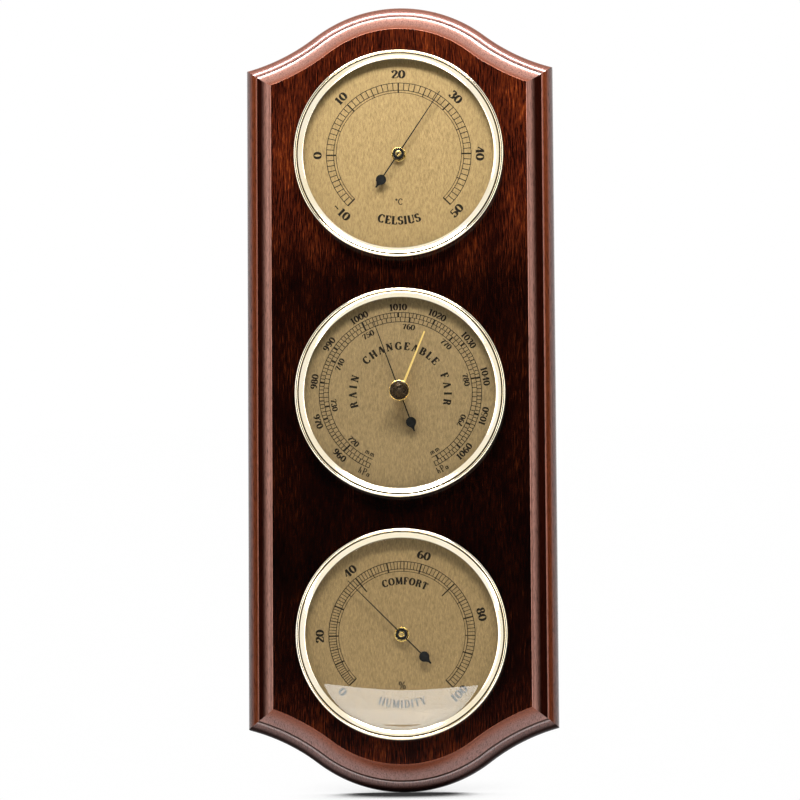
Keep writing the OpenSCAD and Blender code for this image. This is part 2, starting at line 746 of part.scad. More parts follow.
backboard();
hanger_plate();
hanger_screws();
case(thermo_y, true, []);  // thermo_case
clips(thermo_y);  // thermo_clips
dial(thermo_y);  // thermo_dial
spacer(thermo_y);  // thermo_spacer
glass(thermo_y, 0);  // thermo_glass
bezel(thermo_y);  // thermo_bezel
bush(thermo_y);  // thermo_bush
thermo_arbor();
pointer(thermo_y, thermo_turn);  // thermo_pointer
thermo_plate();
thermo_post();
thermo_coil();
case(baro_y, false, capsule_at);  // baro_case
clips(baro_y);  // baro_clips
dial(baro_y);  // baro_dial
spacer(baro_y);  // baro_spacer
glass(baro_y, stem_r + run);  // baro_glass
bezel(baro_y);  // baro_bezel
bush(baro_y);  // baro_bush
baro_arbor();
pointer(baro_y, baro_turn);  // baro_pointer
baro_plate();
bridge(baro_y);  // baro_bridge
baro_capsule();
baro_rocker();
sector(baro_y, gear_h, gear_top);  // baro_sector
hairspring(baro_y);  // baro_hairspring
adjuster(baro_y, capsule_at, base_top - 0.2);  // baro_adjuster
baro_set_hand();
baro_knob();
case(hygro_y, true, anchor_at);  // hygro_case
clips(hygro_y);  // hygro_clips
dial(hygro_y);  // hygro_dial
spacer(hygro_y);  // hygro_spacer
glass(hygro_y, 0);  // hygro_glass
bezel(hygro_y);  // hygro_bezel
bush(hygro_y);  // hygro_bush
hygro_arbor();
pointer(hygro_y, hygro_bearing);  // hygro_pointer
hygro_plate();
bridge(hygro_y);  // hygro_bridge
hygro_sector();
hairspring(hygro_y);  // hygro_hairspring
adjuster(hygro_y, anchor_at, base_top + 2.5);  // hygro_adjuster
hygro_anchor();
hygro_hair();
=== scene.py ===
import math
import bpy
from mathutils import Matrix, Quaternion, Vector, geometry


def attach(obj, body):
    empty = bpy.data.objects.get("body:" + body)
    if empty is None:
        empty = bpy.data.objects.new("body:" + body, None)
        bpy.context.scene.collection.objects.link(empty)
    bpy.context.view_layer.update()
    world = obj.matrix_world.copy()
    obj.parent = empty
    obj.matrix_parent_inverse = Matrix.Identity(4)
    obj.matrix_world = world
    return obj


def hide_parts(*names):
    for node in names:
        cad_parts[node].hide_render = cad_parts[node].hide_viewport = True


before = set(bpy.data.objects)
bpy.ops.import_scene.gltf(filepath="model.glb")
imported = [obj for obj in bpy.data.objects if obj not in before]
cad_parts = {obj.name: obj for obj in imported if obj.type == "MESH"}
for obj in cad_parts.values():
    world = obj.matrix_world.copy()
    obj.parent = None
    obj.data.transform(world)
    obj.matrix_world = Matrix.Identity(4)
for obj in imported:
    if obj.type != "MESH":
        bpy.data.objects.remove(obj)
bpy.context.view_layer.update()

# Sizes are in millimetres, measured up and across from the hanging hole and out from the wall
MM = 0.001

# The board
BOARD_W = 150.0
BOARD_T = 22.0
END_REACH = 75.0
CROWN_R = 68.6
SHOULDER_R = 94.6
CORNER_DROP = 30.5
CASE_HOLE_R = 45.0

# Its moulding, from the edge inwards
BEAD_R = 4.6
STEP_W = 0.75
STEP_H = 1.3
COVE_W = 7.0
COVE_FOOT = 15.0
COVE_HEAD = 80.0

# The hanger plate's recess, the pocket behind its keyhole and its screw holes
PLATE_W = 40.0
PLATE_R = 10.0
PLATE_Y = 3.0
PLATE_T = 1.2
POCKET_R = 6.0
POCKET_NECK_R = 3.8
POCKET_D = 8.0
NECK_L = 7.0
SCREW_X = 13.5
SCREW_R = 1.55
SCREW_DEPTH = 13.5

# The dials
PITCH = 117.0
THERMO_Y = -55.0
DIALS = {"thermo": THERMO_Y, "baro": THERMO_Y - PITCH, "hygro": THERMO_Y - 2 * PITCH}
HALF_H = PITCH + END_REACH
DIAL_H = 22.9
DIAL_T = 0.4
INK_LIFT = 0.02

# The glasses
PANE_H = 25.6
PANE_TOP = 26.8
PANE_T = 1.2
PANE_R = 48.9
DOME_R = 46.3
DOME_RISE = 3.2
DOME_POWER = 2.29
STEM_BORE_R = 1.6

# The bezels: bead at the rim, groove inside it, and the slope from its crest down to the lip
WALL_IN = 49.6
WALL_OUT = 50.5
RIM_R = 50.28
RIM_H = 27.35
RIM_BEAD = 0.72
GROOVE_OUT = 49.56
GROOVE_IN = 48.98
GROOVE_H = 27.16
CREST_H = 28.09
LIP_R = 46.5
LIP_TOP = 27.13
LIP_LOW = 26.83
EASE = 0.04

# The bushes in the dials, and the rivets in the pointers' hubs
BUSH_BORE = 0.86
BUSH_R = 3.6
BUSH_TOP = 23.35
BUSH_LOW = 21.9
BUSH_NECK = 2.2
BUSH_NUT = 3.2
BUSH_SEAT = 0.01
POINTER_TOP = 26.15

# The setting knob, from its stem up to the point of its cone
STEM_R = 1.45
STEM_H = 29.6
KNOB_FOOT = 30.3
KNOB_RIM = KNOB_FOOT + 4.5
KNOB_R = 4.9
CONE_R = 4.74
CONE_RISE = 5.2
GRIP_TOOTH = (4.55, 4.62, 4.8, 4.62)
GRIP_TEETH = 40


def point(x, y, out):
    """A point on the face: x right, y up and out from the wall, in millimetres."""
    return Vector((x * MM, -out * MM, y * MM))


# Materials
class Graph:
    """A node tree, and short calls that add nodes to it."""

    def __init__(self, tree):
        self.tree = tree

    def add(self, kind, **props):
        node = self.tree.nodes.new(kind)
        for key, value in props.items():
            setattr(node, key, value)
        return node

    def link(self, source, socket):
        self.tree.links.new(source, socket)

    def feed(self, socket, value):
        """Links a socket to an output, or sets it to a number or a colour."""
        if isinstance(value, (int, float)):
            socket.default_value = value
        elif isinstance(value, tuple):
            socket.default_value = (*value, 1) if len(value) == 3 and socket.type == "RGBA" else value
        else:
            self.link(value, socket)

    def fill(self, node, **inputs):
        """Feeds a node's inputs by name, with _ for a space, and returns its outputs."""
        for key, value in inputs.items():
            self.feed(node.inputs[key.replace("_", " ")], value)
        return node.outputs

    def ramp(self, factor, *stops):
        node = self.add("ShaderNodeValToRGB")
        marks = node.color_ramp.elements
        while len(marks) < len(stops):
            marks.new(0.5)
        for mark, (position, colour) in zip(marks, stops):
            mark.position = position
            mark.color = (*colour, 1) if isinstance(colour, tuple) else (colour, colour, colour, 1)
        self.link(factor, node.inputs["Fac"])
        return node.outputs["Color"]

    def math(self, operation, *values):
        node = self.add("ShaderNodeMath", operation=operation)
        for socket, value in zip(node.inputs, values):
            self.feed(socket, value)
        return node.outputs[0]

    def mix(self, factor, a, b, blend="MIX"):
        node = self.add("ShaderNodeMix", data_type="RGBA", blend_type=blend)
        outputs = self.fill(node, Factor=factor, A=a, B=b)
        return [out for out in outputs if out.type == "RGBA"][0]


class Surface(Graph):
    """A material's graph, with textures that are placed in the object's own space."""

    def __init__(self, name):
        self.material = bpy.data.materials.new(name)
        self.material.use_nodes = True
        super().__init__(self.material.node_tree)
        self.shader = self.tree.nodes["Principled BSDF"]
        self.output = self.tree.nodes["Material Output"]
        self.place = self.add("ShaderNodeTexCoord").outputs["Object"]

    def scaled(self, sx, sy, sz, turn=0.0, source=None):
        node = self.add("ShaderNodeMapping")
        turned = (0, math.radians(turn), 0)
        return self.fill(node, Vector=source or self.place, Scale=(sx, sy, sz), Rotation=turned)["Vector"]

    def noise(self, vector, scale, detail=3.0, rough=0.5, distortion=0.0):
        node = self.add("ShaderNodeTexNoise")
        return self.fill(node, Vector=vector, Scale=scale, Detail=detail, Roughness=rough,
                         Distortion=distortion)["Fac"]

    def bump(self, height, distance, strength=1.0):
        node = self.add("ShaderNodeBump")
        self.set(Normal=self.fill(node, Strength=strength, Distance=distance, Height=height)["Normal"])

    def set(self, **values):
        self.fill(self.shader, **values)

    def finish_with(self, factor, first, second):
        """Ends the material with a mix of two shaders."""
        both = self.add("ShaderNodeMixShader")
        self.link(factor, both.inputs["Fac"])
        self.link(first, both.inputs[1])
        self.link(second, both.inputs[2])
        self.link(both.outputs["Shader"], self.output.inputs["Surface"])


def metal(name, dark, pale, rough, purity=1.0):
    """Plain or polished metal with faint clouds and fine tool marks."""
    m = Surface(name)
    cloud = m.noise(m.scaled(1, 1, 1), 55.0, 4.0, 0.6)
    fine = m.noise(m.scaled(1, 1, 1), 900.0, 2.0)
    m.set(Base_Color=m.ramp(cloud, (0.3, dark), (0.7, pale)), Metallic=purity,
          Roughness=m.ramp(fine, (0.3, rough * 0.8), (0.75, rough * 1.25)))
    m.bump(fine, 0.00001)
    return m.material


def dial_metal(name, dark, pale, turn, rough=0.46):
    """Brushed dial: fine and long straight strokes across the disc, at an angle of turn degrees."""
    m = Surface(name)
    fine = m.noise(m.scaled(1.0, 0.2, 0.3, turn), 1700.0, 3.0, 0.6)
    long = m.noise(m.scaled(1.0, 0.2, 0.4, turn), 650.0, 3.0, 0.6)
    strokes = m.math("MULTIPLY_ADD", fine, 0.65, m.math("MULTIPLY", long, 0.35))
    m.set(Base_Color=m.ramp(strokes, (0.36, dark), (0.64, pale)), Metallic=0.3,
          Roughness=m.ramp(strokes, (0.35, rough * 0.85), (0.65, rough * 1.15)))
    m.bump(strokes, 0.00002, 0.5)
    return m.material


def wood_grain(m, tones, contrast, painted_shade):
    """Mahogany with upright flecks and pores, and painted light and shade that changes with height. Returns
    its colour, flecks and pores.
    """
    warp = m.noise(m.scaled(1.0, 1.0, 0.4), 24.0, 2.0)
    bent = m.add("ShaderNodeVectorMath", operation="MULTIPLY_ADD")
    m.link(warp, bent.inputs[0])
    bent.inputs[1].default_value = (0.008, 0.0, 0.0)
    m.link(m.place, bent.inputs[2])
    grain = bent.outputs["Vector"]
    cloud = m.noise(m.scaled(1.0, 0.6, 0.3, 0, grain), 70.0, 3.0, 0.55)
    fleck = m.noise(m.scaled(1.0, 0.6, 0.075, 4, grain), 1900.0, 4.0, 0.62, 0.25)
    pore = m.noise(m.scaled(1.0, 0.6, 0.07, 4, grain), 3600.0, 2.0, 0.6)
    figure = m.math("ADD", m.math("MULTIPLY", fleck, 0.7), m.math("MULTIPLY", cloud, 0.3))
    figure = m.math("ADD", m.math("MULTIPLY", m.math("SUBTRACT", figure, 0.5), contrast), 0.5)
    lined = m.mix(1.0, m.ramp(figure, *tones), m.ramp(pore, (0.36, 0.4), (0.5, 1.0)), "MULTIPLY")
    axes = m.add("ShaderNodeSeparateXYZ")
    m.link(m.place, axes.inputs[0])
    height = m.fill(m.add("ShaderNodeMapRange"), Value=axes.outputs["Z"], From_Min=-0.36, From_Max=0.02)
    return m.mix(1.0, lined, m.ramp(height["Result"], *painted_shade), "MULTIPLY"), fleck, pore


def wood(name, tones, contrast, painted_shade, **finish):
    """Polished mahogany. The mesh's painted light and shade tints it, and its alpha is the clear coat if
    finish gives none.
    """
    m = Surface(name)
    colour, fleck, pore = wood_grain(m, tones, contrast, painted_shade)
    painted_light_and_gloss = m.add("ShaderNodeAttribute", attribute_name="painted_light_and_gloss")
    finish.setdefault("Coat_Weight", painted_light_and_gloss.outputs["Alpha"])
    m.set(Base_Color=m.mix(1.0, colour, painted_light_and_gloss.outputs["Color"], "MULTIPLY"),
          Roughness=m.ramp(pore, (0.3, 0.5), (0.7, 0.38)), Specular_IOR_Level=0.0, **finish)
    m.bump(m.math("ADD", pore, fleck), 0.00004, 0.5)
    return m.material


def glass(name):
    """Clear pane: lets everything through, and mirrors a little on its front faces, more at the rim."""
    m = Surface(name)
    clear = m.fill(m.add("ShaderNodeBsdfTransparent"), Color=(0.97, 0.98, 0.975))
    smear = m.noise(m.scaled(1, 1, 1), 40.0, 2.0)
    shine = m.fill(m.add("ShaderNodeBsdfGlossy"), Roughness=m.ramp(smear, (0.4, 0.0), (0.7, 0.02)))
    edge = m.fill(m.add("ShaderNodeFresnel"), IOR=1.8)
    front = m.math("SUBTRACT", 1.0, m.add("ShaderNodeNewGeometry").outputs["Backfacing"])
    m.finish_with(m.math("MULTIPLY", edge["Fac"], front), clear["BSDF"], shine["BSDF"])
    return m.material


def paint(name, dark, pale, rough, gloss):
    """Matt or silky paint with a very fine fleck."""
    m = Surface(name)
    fleck = m.noise(m.scaled(1, 1, 1), 700.0, 3.0)
    m.set(Base_Color=m.ramp(fleck, (0.35, dark), (0.65, pale)), Specular_IOR_Level=gloss,
          Roughness=m.ramp(fleck, (0.3, rough * 0.85), (0.7, rough * 1.15)))
    m.bump(fleck, 0.000008, 0.4)
    return m.material


def strands(name):
    """A bundle of pale upright hairs."""
    m = Surface(name)
    fine = m.noise(m.scaled(1.0, 1.0, 0.02), 9000.0, 2.0)
    m.set(Base_Color=m.ramp(fine, (0.35, (0.28, 0.19, 0.09)), (0.65, (0.62, 0.5, 0.3))), Roughness=0.45)
    m.bump(fine, 0.00003, 0.6)
    return m.material


PANEL_TONES = ((0.38, (0.018, 0.0024, 0.0010)), (0.48, (0.050, 0.0070, 0.0028)),
               (0.57, (0.17, 0.026, 0.007)), (0.67, (0.50, 0.10, 0.022)))
# Painted light and shade by height on the panel: paler near the top, darker lower down and between the
# dials, where the bezels shade it.
PANEL_PAINTED_SHADE = ((0.04, 0.34), (0.14, 0.10), (0.26, 0.03), (0.32, 0.06), (0.50, 0.09),
              (0.64, 0.10), (0.70, 0.32), (0.75, 0.50), (0.87, 0.50))
EDGE_TONES = ((0.30, (0.22, 0.068, 0.034)), (0.50, (0.30, 0.10, 0.055)),
              (0.70, (0.38, 0.135, 0.078)), (0.9, (0.45, 0.17, 0.10)))
# Painted shade by height on the moulding: a little darker towards the bottom.
EDGE_PAINTED_SHADE = ((0.0, 0.80), (0.4, 0.9), (1.0, 1.0))
MAT = {
    "wood": wood("mahogany_panel", PANEL_TONES, 1.0, PANEL_PAINTED_SHADE,
                 Metallic=0.0, Coat_Weight=0.55, Coat_Roughness=0.10, Coat_IOR=1.5),
    "edge": wood("mahogany_edge", EDGE_TONES, 0.6, EDGE_PAINTED_SHADE,
                 Metallic=0.45, Coat_Roughness=0.2, Coat_IOR=1.7),
    "bezel": metal("bezel_gilt", (0.96, 0.85, 0.60), (0.99, 0.92, 0.76), 0.08),
    # Dark metal in the bezel's groove: painted shade for the shadow in the groove.
    "groove": metal("bezel_groove_shade", (0.05, 0.03, 0.012), (0.09, 0.055, 0.022), 0.45),
    "gilt": metal("ring_gilt", (0.90, 0.60, 0.16), (0.98, 0.74, 0.30), 0.26),
    "hand": metal("hand_gold", (0.86, 0.58, 0.14), (0.95, 0.70, 0.24), 0.4, purity=0.35),
    "brass": metal("plain_brass", (0.56, 0.39, 0.16), (0.70, 0.51, 0.24), 0.28),
    "knob": metal("knob_bronze", (0.055, 0.038, 0.022), (0.085, 0.06, 0.036), 0.26),
    "steel": metal("spring_steel", (0.42, 0.43, 0.45), (0.58, 0.59, 0.60), 0.3),
    # The three dials are of one brushed metal; their different shades are painted light, set for how
    # brightly each one is lit.
    "thermo": dial_metal("thermo_dial", (0.307, 0.197, 0.075), (0.510, 0.336, 0.139), 45.0),
    "baro": dial_metal("baro_dial", (0.231, 0.152, 0.066), (0.403, 0.269, 0.118), 0.0),
    "hygro": dial_metal("hygro_dial", (0.240, 0.154, 0.062), (0.416, 0.272, 0.114), 45.0),
    "glass": glass("pane"),
    "black": paint("pointer_black", (0.006, 0.006, 0.006), (0.014, 0.013, 0.012), 0.4, 0.15),
    "ink": paint("dial_ink", (0.010, 0.007, 0.005), (0.018, 0.012, 0.008), 0.6, 0.1),
    "hair": strands("hair_bundle"),
    # The spacer rings are painted dark grey: painted shade for the shadowed wall inside the top of each
    # bezel.
    "spacer": paint("spacer_painted_shade", (0.035, 0.027, 0.02), (0.055, 0.043, 0.033), 0.5, 0.2),
}
# Slots of the materials that have none of their own
SLOT = {"edge": "wood", "groove": "bezel", "hand": "gilt", "knob": "brass", "black": "pointer",
        "ink": "pointer", "thermo": "dial", "baro": "dial", "hygro": "dial", "spacer": "dial"}


def material_key(node):
    """The material of a CAD node, from its name."""
    head, _, tail = node.partition("_")
    if node == "backboard":
        return "wood"
    if node == "hanger_plate" or tail in ("clips", "coil", "hairspring", "rocker"):
        return "steel"
    if tail in ("glass", "bezel", "hair", "spacer"):
        return tail
    return {"dial": head, "pointer": "black", "set_hand": "hand"}.get(tail, "brass")


for node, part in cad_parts.items():
    part.data.materials.clear()
    part.data.materials.append(MAT[material_key(node)])


# Meshes
def add_object(name, data):
    item = bpy.data.objects.new(name, data)
    bpy.context.scene.collection.objects.link(item)
    return item


def mesh_object(name, verts, faces, key, body, replaces=(), smooth=True, sharp=()):
    """A piece of a material that rides on a body. sharp lists the edges that stay crisp."""
    mesh = bpy.data.meshes.new(name)
    mesh.from_pydata([tuple(v) for v in verts], [], faces)
    mesh.validate()
    if smooth:
        mesh.polygons.foreach_set("use_smooth", [True] * len(mesh.polygons))
    crisp = {tuple(sorted(pair)) for pair in sharp}
    for edge in mesh.edges:
        if tuple(sorted(edge.vertices)) in crisp:
            edge.use_edge_sharp = True
    mesh.update()
    piece = add_object(name, mesh)
    mesh.materials.append(MAT[key])
    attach(piece, body)
    SLOT.get(key, key)
    if replaces:
        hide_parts(*replaces)
    return piece


SHARP_OVER = 35.0


def bend(before, here, after):
    """The angle in degrees by which a profile turns at a point, or 0 where two points meet."""
    u = (here[0] - before[0], here[1] - before[1])
    v = (after[0] - here[0], after[1] - here[1])
    if math.hypot(*u) < 1e-9 or math.hypot(*v) < 1e-9:
        return 0.0
    return abs(math.degrees(math.atan2(u[0] * v[1] - u[1] * v[0], u[0] * v[0] + u[1] * v[1])))


def pairs(n):
    """Each place in a closed loop of n, with the place after it."""
    return [(k, (k + 1) % n) for k in range(n)]


def lathe(name, y, profile, key, body, replaces=(), seg=192, closed=True, band=None):
    """Turns a profile of (radius, height) points about a dial's axis. band is a material and its steps."""
    n = len(profile)
    turns = [2 * math.pi * k / seg for k in range(seg)]
    verts = [point(r * math.cos(t), y + r * math.sin(t), h) for r, h in profile for t in turns]
    faces = []
    sharp = []
    for i, j in pairs(n):
        low = i * seg
        high = j * seg
        if closed or j:
            faces += [(low + k, low + after, high + after, high + k) for k, after in pairs(seg)]
        if bend(profile[i - 1], profile[i], profile[j]) > SHARP_OVER:
            sharp += [(low + k, low + after) for k, after in pairs(seg)]
    piece = mesh_object(name, verts, faces, key, body, replaces, sharp=sharp)
    if band:
        band_key, first, last = band
        piece.data.materials.append(MAT[band_key])
        for f, face in enumerate(piece.data.polygons):
            if first <= f // seg < last:
                face.material_index = 1
    return piece


def curve(cx, cy, rx, ry, start, end, steps=14):
    """Points on an ellipse, from one angle in degrees to another."""
    turns = [math.radians(start + (end - start) * i / steps) for i in range(steps + 1)]
    return [(cx + rx * math.cos(t), cy + ry * math.sin(t)) for t in turns]


def arc(cx, cy, r, start, end, steps):
    return curve(cx, cy, r, r, start, end, steps)


def oval(cx, cy, rx, ry, steps):
    """A whole ellipse, without the repeated last point."""
    return curve(cx, cy, rx, ry, 0, 360, steps)[:-1]


# Prints on the dials
class Print:
    """Flat ink, drawn in millimetres about a dial's centre. Bearings run clockwise from the top."""

    def __init__(self):
        self.verts = []
        self.faces = []

    def poly(self, points):
        first = len(self.verts)
        self.verts += points
        self.faces.append(tuple(range(first, first + len(points))))

    def ring(self, r, line, first, last):
        n = int((last - first) / 1.5)
        inner = arc(0, 0, r - line / 2, 90 - first, 90 - last, n)
        outer = arc(0, 0, r + line / 2, 90 - first, 90 - last, n)
        for i in range(n):
            self.poly([inner[i], outer[i], outer[i + 1], inner[i + 1]])

    def tick(self, bearing, inner, outer, line):
        c = math.cos(math.radians(90 - bearing))
        s = math.sin(math.radians(90 - bearing))
        corners = ((inner, -line / 2), (outer, -line / 2), (outer, line / 2), (inner, line / 2))
        self.poly([(r * c - off * s, r * s + off * c) for r, off in corners])

    def stroke(self, path, place, thick, thin, power=1.6, closed=False):
        """A pen stroke, wide where it runs upright and fine where it runs level."""
        n = len(path)
        left, right = [], []
        for i, (x, y) in enumerate(path):
            before = path[i - 1] if closed else path[max(i - 1, 0)]
            after = path[(i + 1) % n] if closed else path[min(i + 1, n - 1)]
            dx = after[0] - before[0]
            dy = after[1] - before[1]
            run = math.hypot(dx, dy) or 1.0
            half = (thin + (thick - thin) * abs(dy / run) ** power) / 2
            left.append(place(x - dy / run * half, y + dx / run * half))
            right.append(place(x + dy / run * half, y - dx / run * half))
        for i in range(n if closed else n - 1):
            j = (i + 1) % n
            self.poly([left[i], right[i], right[j], left[j]])

    def dot(self, x, y, r, place):
        corners = [2 * math.pi * k / 10 for k in range(10)]
        self.poly([place(x + r * math.cos(t), y + r * math.sin(t)) for t in corners])


# Each glyph has its width and its strokes, in shares of its height. A stroke is a line or a thin line
# between two points, a level bar (from, to, height), a bar that adds its thickness to these, an open or a
# closed curve, or a dot (x, y, radius)
STEM = ("line", (0.17, 0.0), (0.17, 1.0))
FOOT_SERIF = ("level", 0.04, 0.3, 0.02)
HEAD_SERIF = ("level", 0.04, 0.3, 0.98)
GLYPHS = {
    "0": (0.62, [("closed", oval(0.31, 0.5, 0.225, 0.46, 24))]),
    "1": (0.48, [("line", (0.26, 0.0), (0.26, 1.0)), ("level", 0.09, 0.43, 0.02),
        ("thin", (0.26, 0.96), (0.09, 0.84))]),
    "2": (0.6, [("open", curve(0.29, 0.73, 0.20, 0.24, 165, -20)
                + [(0.40, 0.52), (0.22, 0.28), (0.08, 0.07)]), ("dot", 0.13, 0.74, 0.075),
        ("bar", 0.08, 0.53, 0.05, 0.1), ("thin", (0.53, 0.05), (0.555, 0.25))]),
    "3": (0.58, [("open", curve(0.27, 0.75, 0.17, 0.22, 150, -85)),
        ("open", curve(0.27, 0.27, 0.21, 0.255, 85, -155)), ("dot", 0.14, 0.8, 0.07),
        ("dot", 0.12, 0.2, 0.075)]),
    "4": (0.62, [("line", (0.43, 0.0), (0.43, 1.0)), ("thin", (0.40, 0.97), (0.05, 0.27)),
        ("bar", 0.05, 0.58, 0.27, 0.05), ("level", 0.3, 0.56, 0.02)]),
    "5": (0.58, [("bar", 0.14, 0.5, 0.94, 0.1), ("thin", (0.145, 0.95), (0.12, 0.5)),
        ("open", curve(0.27, 0.31, 0.225, 0.285, 130, -155)), ("dot", 0.12, 0.21, 0.075)]),
    "6": (0.62, [("closed", oval(0.32, 0.29, 0.2, 0.265, 20)),
        ("open", curve(0.42, 0.36, 0.32, 0.6, 190, 92)), ("dot", 0.45, 0.88, 0.065)]),
    "7": (0.58, [("bar", 0.08, 0.54, 0.93, 0.11), ("thin", (0.08, 0.93), (0.075, 0.74)),
        ("open", [(0.535, 0.92), (0.42, 0.68), (0.3, 0.36), (0.25, 0.0)])]),
    "8": (0.62, [("closed", oval(0.31, 0.745, 0.17, 0.225, 18)),
        ("closed", oval(0.31, 0.27, 0.205, 0.25, 20))]),
    "9": (0.62, [("closed", oval(0.3, 0.71, 0.2, 0.265, 20)),
        ("open", curve(0.2, 0.64, 0.32, 0.6, 10, -88)), ("dot", 0.17, 0.12, 0.065)]),
    "-": (0.6, [("bar", 0.04, 0.5, 0.45, 0.13)]),
    "A": (0.74, [("thin", (0.09, 0.02), (0.36, 1.0)), ("line", (0.62, 0.02), (0.37, 0.98)),
        ("bar", 0.17, 0.55, 0.34, 0.045), ("level", 0.0, 0.2, 0.02),
        ("level", 0.48, 0.74, 0.02)]),
    "B": (0.68, [STEM,
        ("open", [(0.17, 0.98)] + curve(0.36, 0.755, 0.18, 0.225, 90, -90) + [(0.17, 0.53)]),
        ("open", [(0.17, 0.53)] + curve(0.38, 0.275, 0.21, 0.255, 90, -90) + [(0.17, 0.02)]),
        FOOT_SERIF, HEAD_SERIF]),
    "C": (0.72, [("open", curve(0.4, 0.5, 0.31, 0.48, 48, 312, 22)),
        ("thin", (0.615, 0.97), (0.615, 0.7)), ("thin", (0.615, 0.04), (0.615, 0.24))]),
    "D": (0.76, [STEM,
        ("open", [(0.17, 0.98)] + curve(0.34, 0.5, 0.32, 0.48, 90, -90, 20) + [(0.17, 0.02)]),
        FOOT_SERIF, HEAD_SERIF]),
    "E": (0.66, [STEM, ("level", 0.04, 0.58, 0.98), ("level", 0.04, 0.6, 0.02),
        ("level", 0.17, 0.42, 0.51), ("thin", (0.58, 0.98), (0.58, 0.76)),
        ("thin", (0.6, 0.02), (0.6, 0.26)), ("thin", (0.42, 0.4), (0.42, 0.62))]),
    "F": (0.62, [STEM, ("level", 0.04, 0.56, 0.98), ("level", 0.04, 0.32, 0.02),
        ("level", 0.17, 0.4, 0.5), ("thin", (0.56, 0.98), (0.56, 0.74)),
        ("thin", (0.4, 0.38), (0.4, 0.62))]),
    "G": (0.78, [("open", curve(0.4, 0.5, 0.31, 0.48, 48, 318, 22)),
        ("thin", (0.615, 0.97), (0.615, 0.7)), ("line", (0.63, 0.06), (0.63, 0.42)),
        ("level", 0.5, 0.75, 0.42)]),
    "H": (0.8, [STEM, ("line", (0.63, 0.0), (0.63, 1.0)), ("level", 0.17, 0.63, 0.5), FOOT_SERIF,
        HEAD_SERIF, ("level", 0.5, 0.76, 0.02), ("level", 0.5, 0.76, 0.98)]),
    "I": (0.36, [("line", (0.18, 0.0), (0.18, 1.0)), ("level", 0.04, 0.32, 0.02),
        ("level", 0.04, 0.32, 0.98)]),
    "L": (0.62, [STEM, ("level", 0.04, 0.56, 0.02), ("level", 0.04, 0.32, 0.98),
        ("thin", (0.56, 0.02), (0.56, 0.28))]),
    "M": (0.96, [("thin", (0.16, 0.0), (0.16, 0.98)), ("line", (0.8, 0.0), (0.8, 1.0)),
        ("line", (0.19, 0.98), (0.47, 0.06)), ("thin", (0.47, 0.04), (0.76, 0.98)),
        ("level", 0.03, 0.28, 0.02), ("level", 0.03, 0.22, 0.98), ("level", 0.66, 0.93, 0.02),
        ("level", 0.76, 0.93, 0.98)]),
    "N": (0.8, [("thin", (0.15, 0.0), (0.15, 0.98)), ("line", (0.17, 0.98), (0.63, 0.03)),
        ("thin", (0.65, 0.02), (0.65, 0.98)), ("level", 0.03, 0.28, 0.02),
        ("level", 0.03, 0.2, 0.98), ("level", 0.53, 0.78, 0.98)]),
    "O": (0.78, [("closed", oval(0.39, 0.5, 0.3, 0.47, 26))]),
    "R": (0.74, [STEM,
        ("open", [(0.17, 0.98)] + curve(0.36, 0.755, 0.19, 0.225, 90, -90) + [(0.17, 0.53)]),
        ("open", [(0.4, 0.52), (0.52, 0.4), (0.56, 0.16), (0.68, 0.03)]), FOOT_SERIF,
        HEAD_SERIF]),
    "S": (0.58, [("open", curve(0.29, 0.74, 0.19, 0.24, 40, 250, 14) + [(0.3, 0.5)]
                + curve(0.29, 0.27, 0.21, 0.25, 70, -140, 14)),
        ("thin", (0.46, 0.97), (0.46, 0.76)), ("thin", (0.1, 0.03), (0.1, 0.26))]),
    "T": (0.7, [("line", (0.35, 0.0), (0.35, 1.0)), ("level", 0.06, 0.64, 0.98),
        ("level", 0.2, 0.5, 0.02), ("thin", (0.06, 0.98), (0.06, 0.74)),
        ("thin", (0.64, 0.98), (0.64, 0.74))]),
    "U": (0.76, [("open", [(0.17, 1.0), (0.17, 0.6), (0.17, 0.35)]
                + curve(0.4, 0.28, 0.23, 0.26, 190, 350, 12)),
        ("thin", (0.63, 0.3), (0.63, 1.0)), HEAD_SERIF, ("level", 0.52, 0.74, 0.98)]),
    "Y": (0.72, [("line", (0.36, 0.0), (0.36, 0.45)), ("line", (0.36, 0.45), (0.1, 0.98)),
        ("thin", (0.36, 0.45), (0.6, 0.98)), ("level", 0.22, 0.5, 0.02),
        ("level", 0.0, 0.24, 0.98), ("level", 0.48, 0.72, 0.98)]),
    "a": (0.5, [("closed", oval(0.22, 0.24, 0.15, 0.22, 14)), ("line", (0.39, 0.0), (0.39, 0.48))]),
    "h": (0.52, [("line", (0.12, 0.0), (0.12, 1.0)),
        ("open", curve(0.25, 0.32, 0.13, 0.17, 170, 0, 8) + [(0.39, 0.0)])]),
    "m": (0.76, [("line", (0.12, 0.0), (0.12, 0.5)),
        ("open", curve(0.24, 0.32, 0.12, 0.17, 170, 0, 8) + [(0.37, 0.0)]),
        ("open", curve(0.49, 0.32, 0.12, 0.17, 170, 0, 8) + [(0.62, 0.0)])]),
    "P": (0.66, [STEM,
        ("open", [(0.17, 0.98)] + curve(0.36, 0.74, 0.19, 0.24, 90, -90) + [(0.17, 0.5)]),
        ("level", 0.04, 0.32, 0.02), HEAD_SERIF]),
    "%": (0.95, [("closed", oval(0.23, 0.74, 0.14, 0.22, 14)),
        ("closed", oval(0.72, 0.26, 0.14, 0.22, 14)), ("thin", (0.74, 0.98), (0.21, 0.02))]),
    "*": (0.34, [("closed", oval(0.16, 0.84, 0.1, 0.12, 12))]),
    " ": (0.4, []),
}

# The thickness of upright and of level strokes, in shares of a glyph's height
WEIGHTS = {"light": (0.15, 0.11), "plain": (0.24, 0.105), "bold": (0.27, 0.12)}


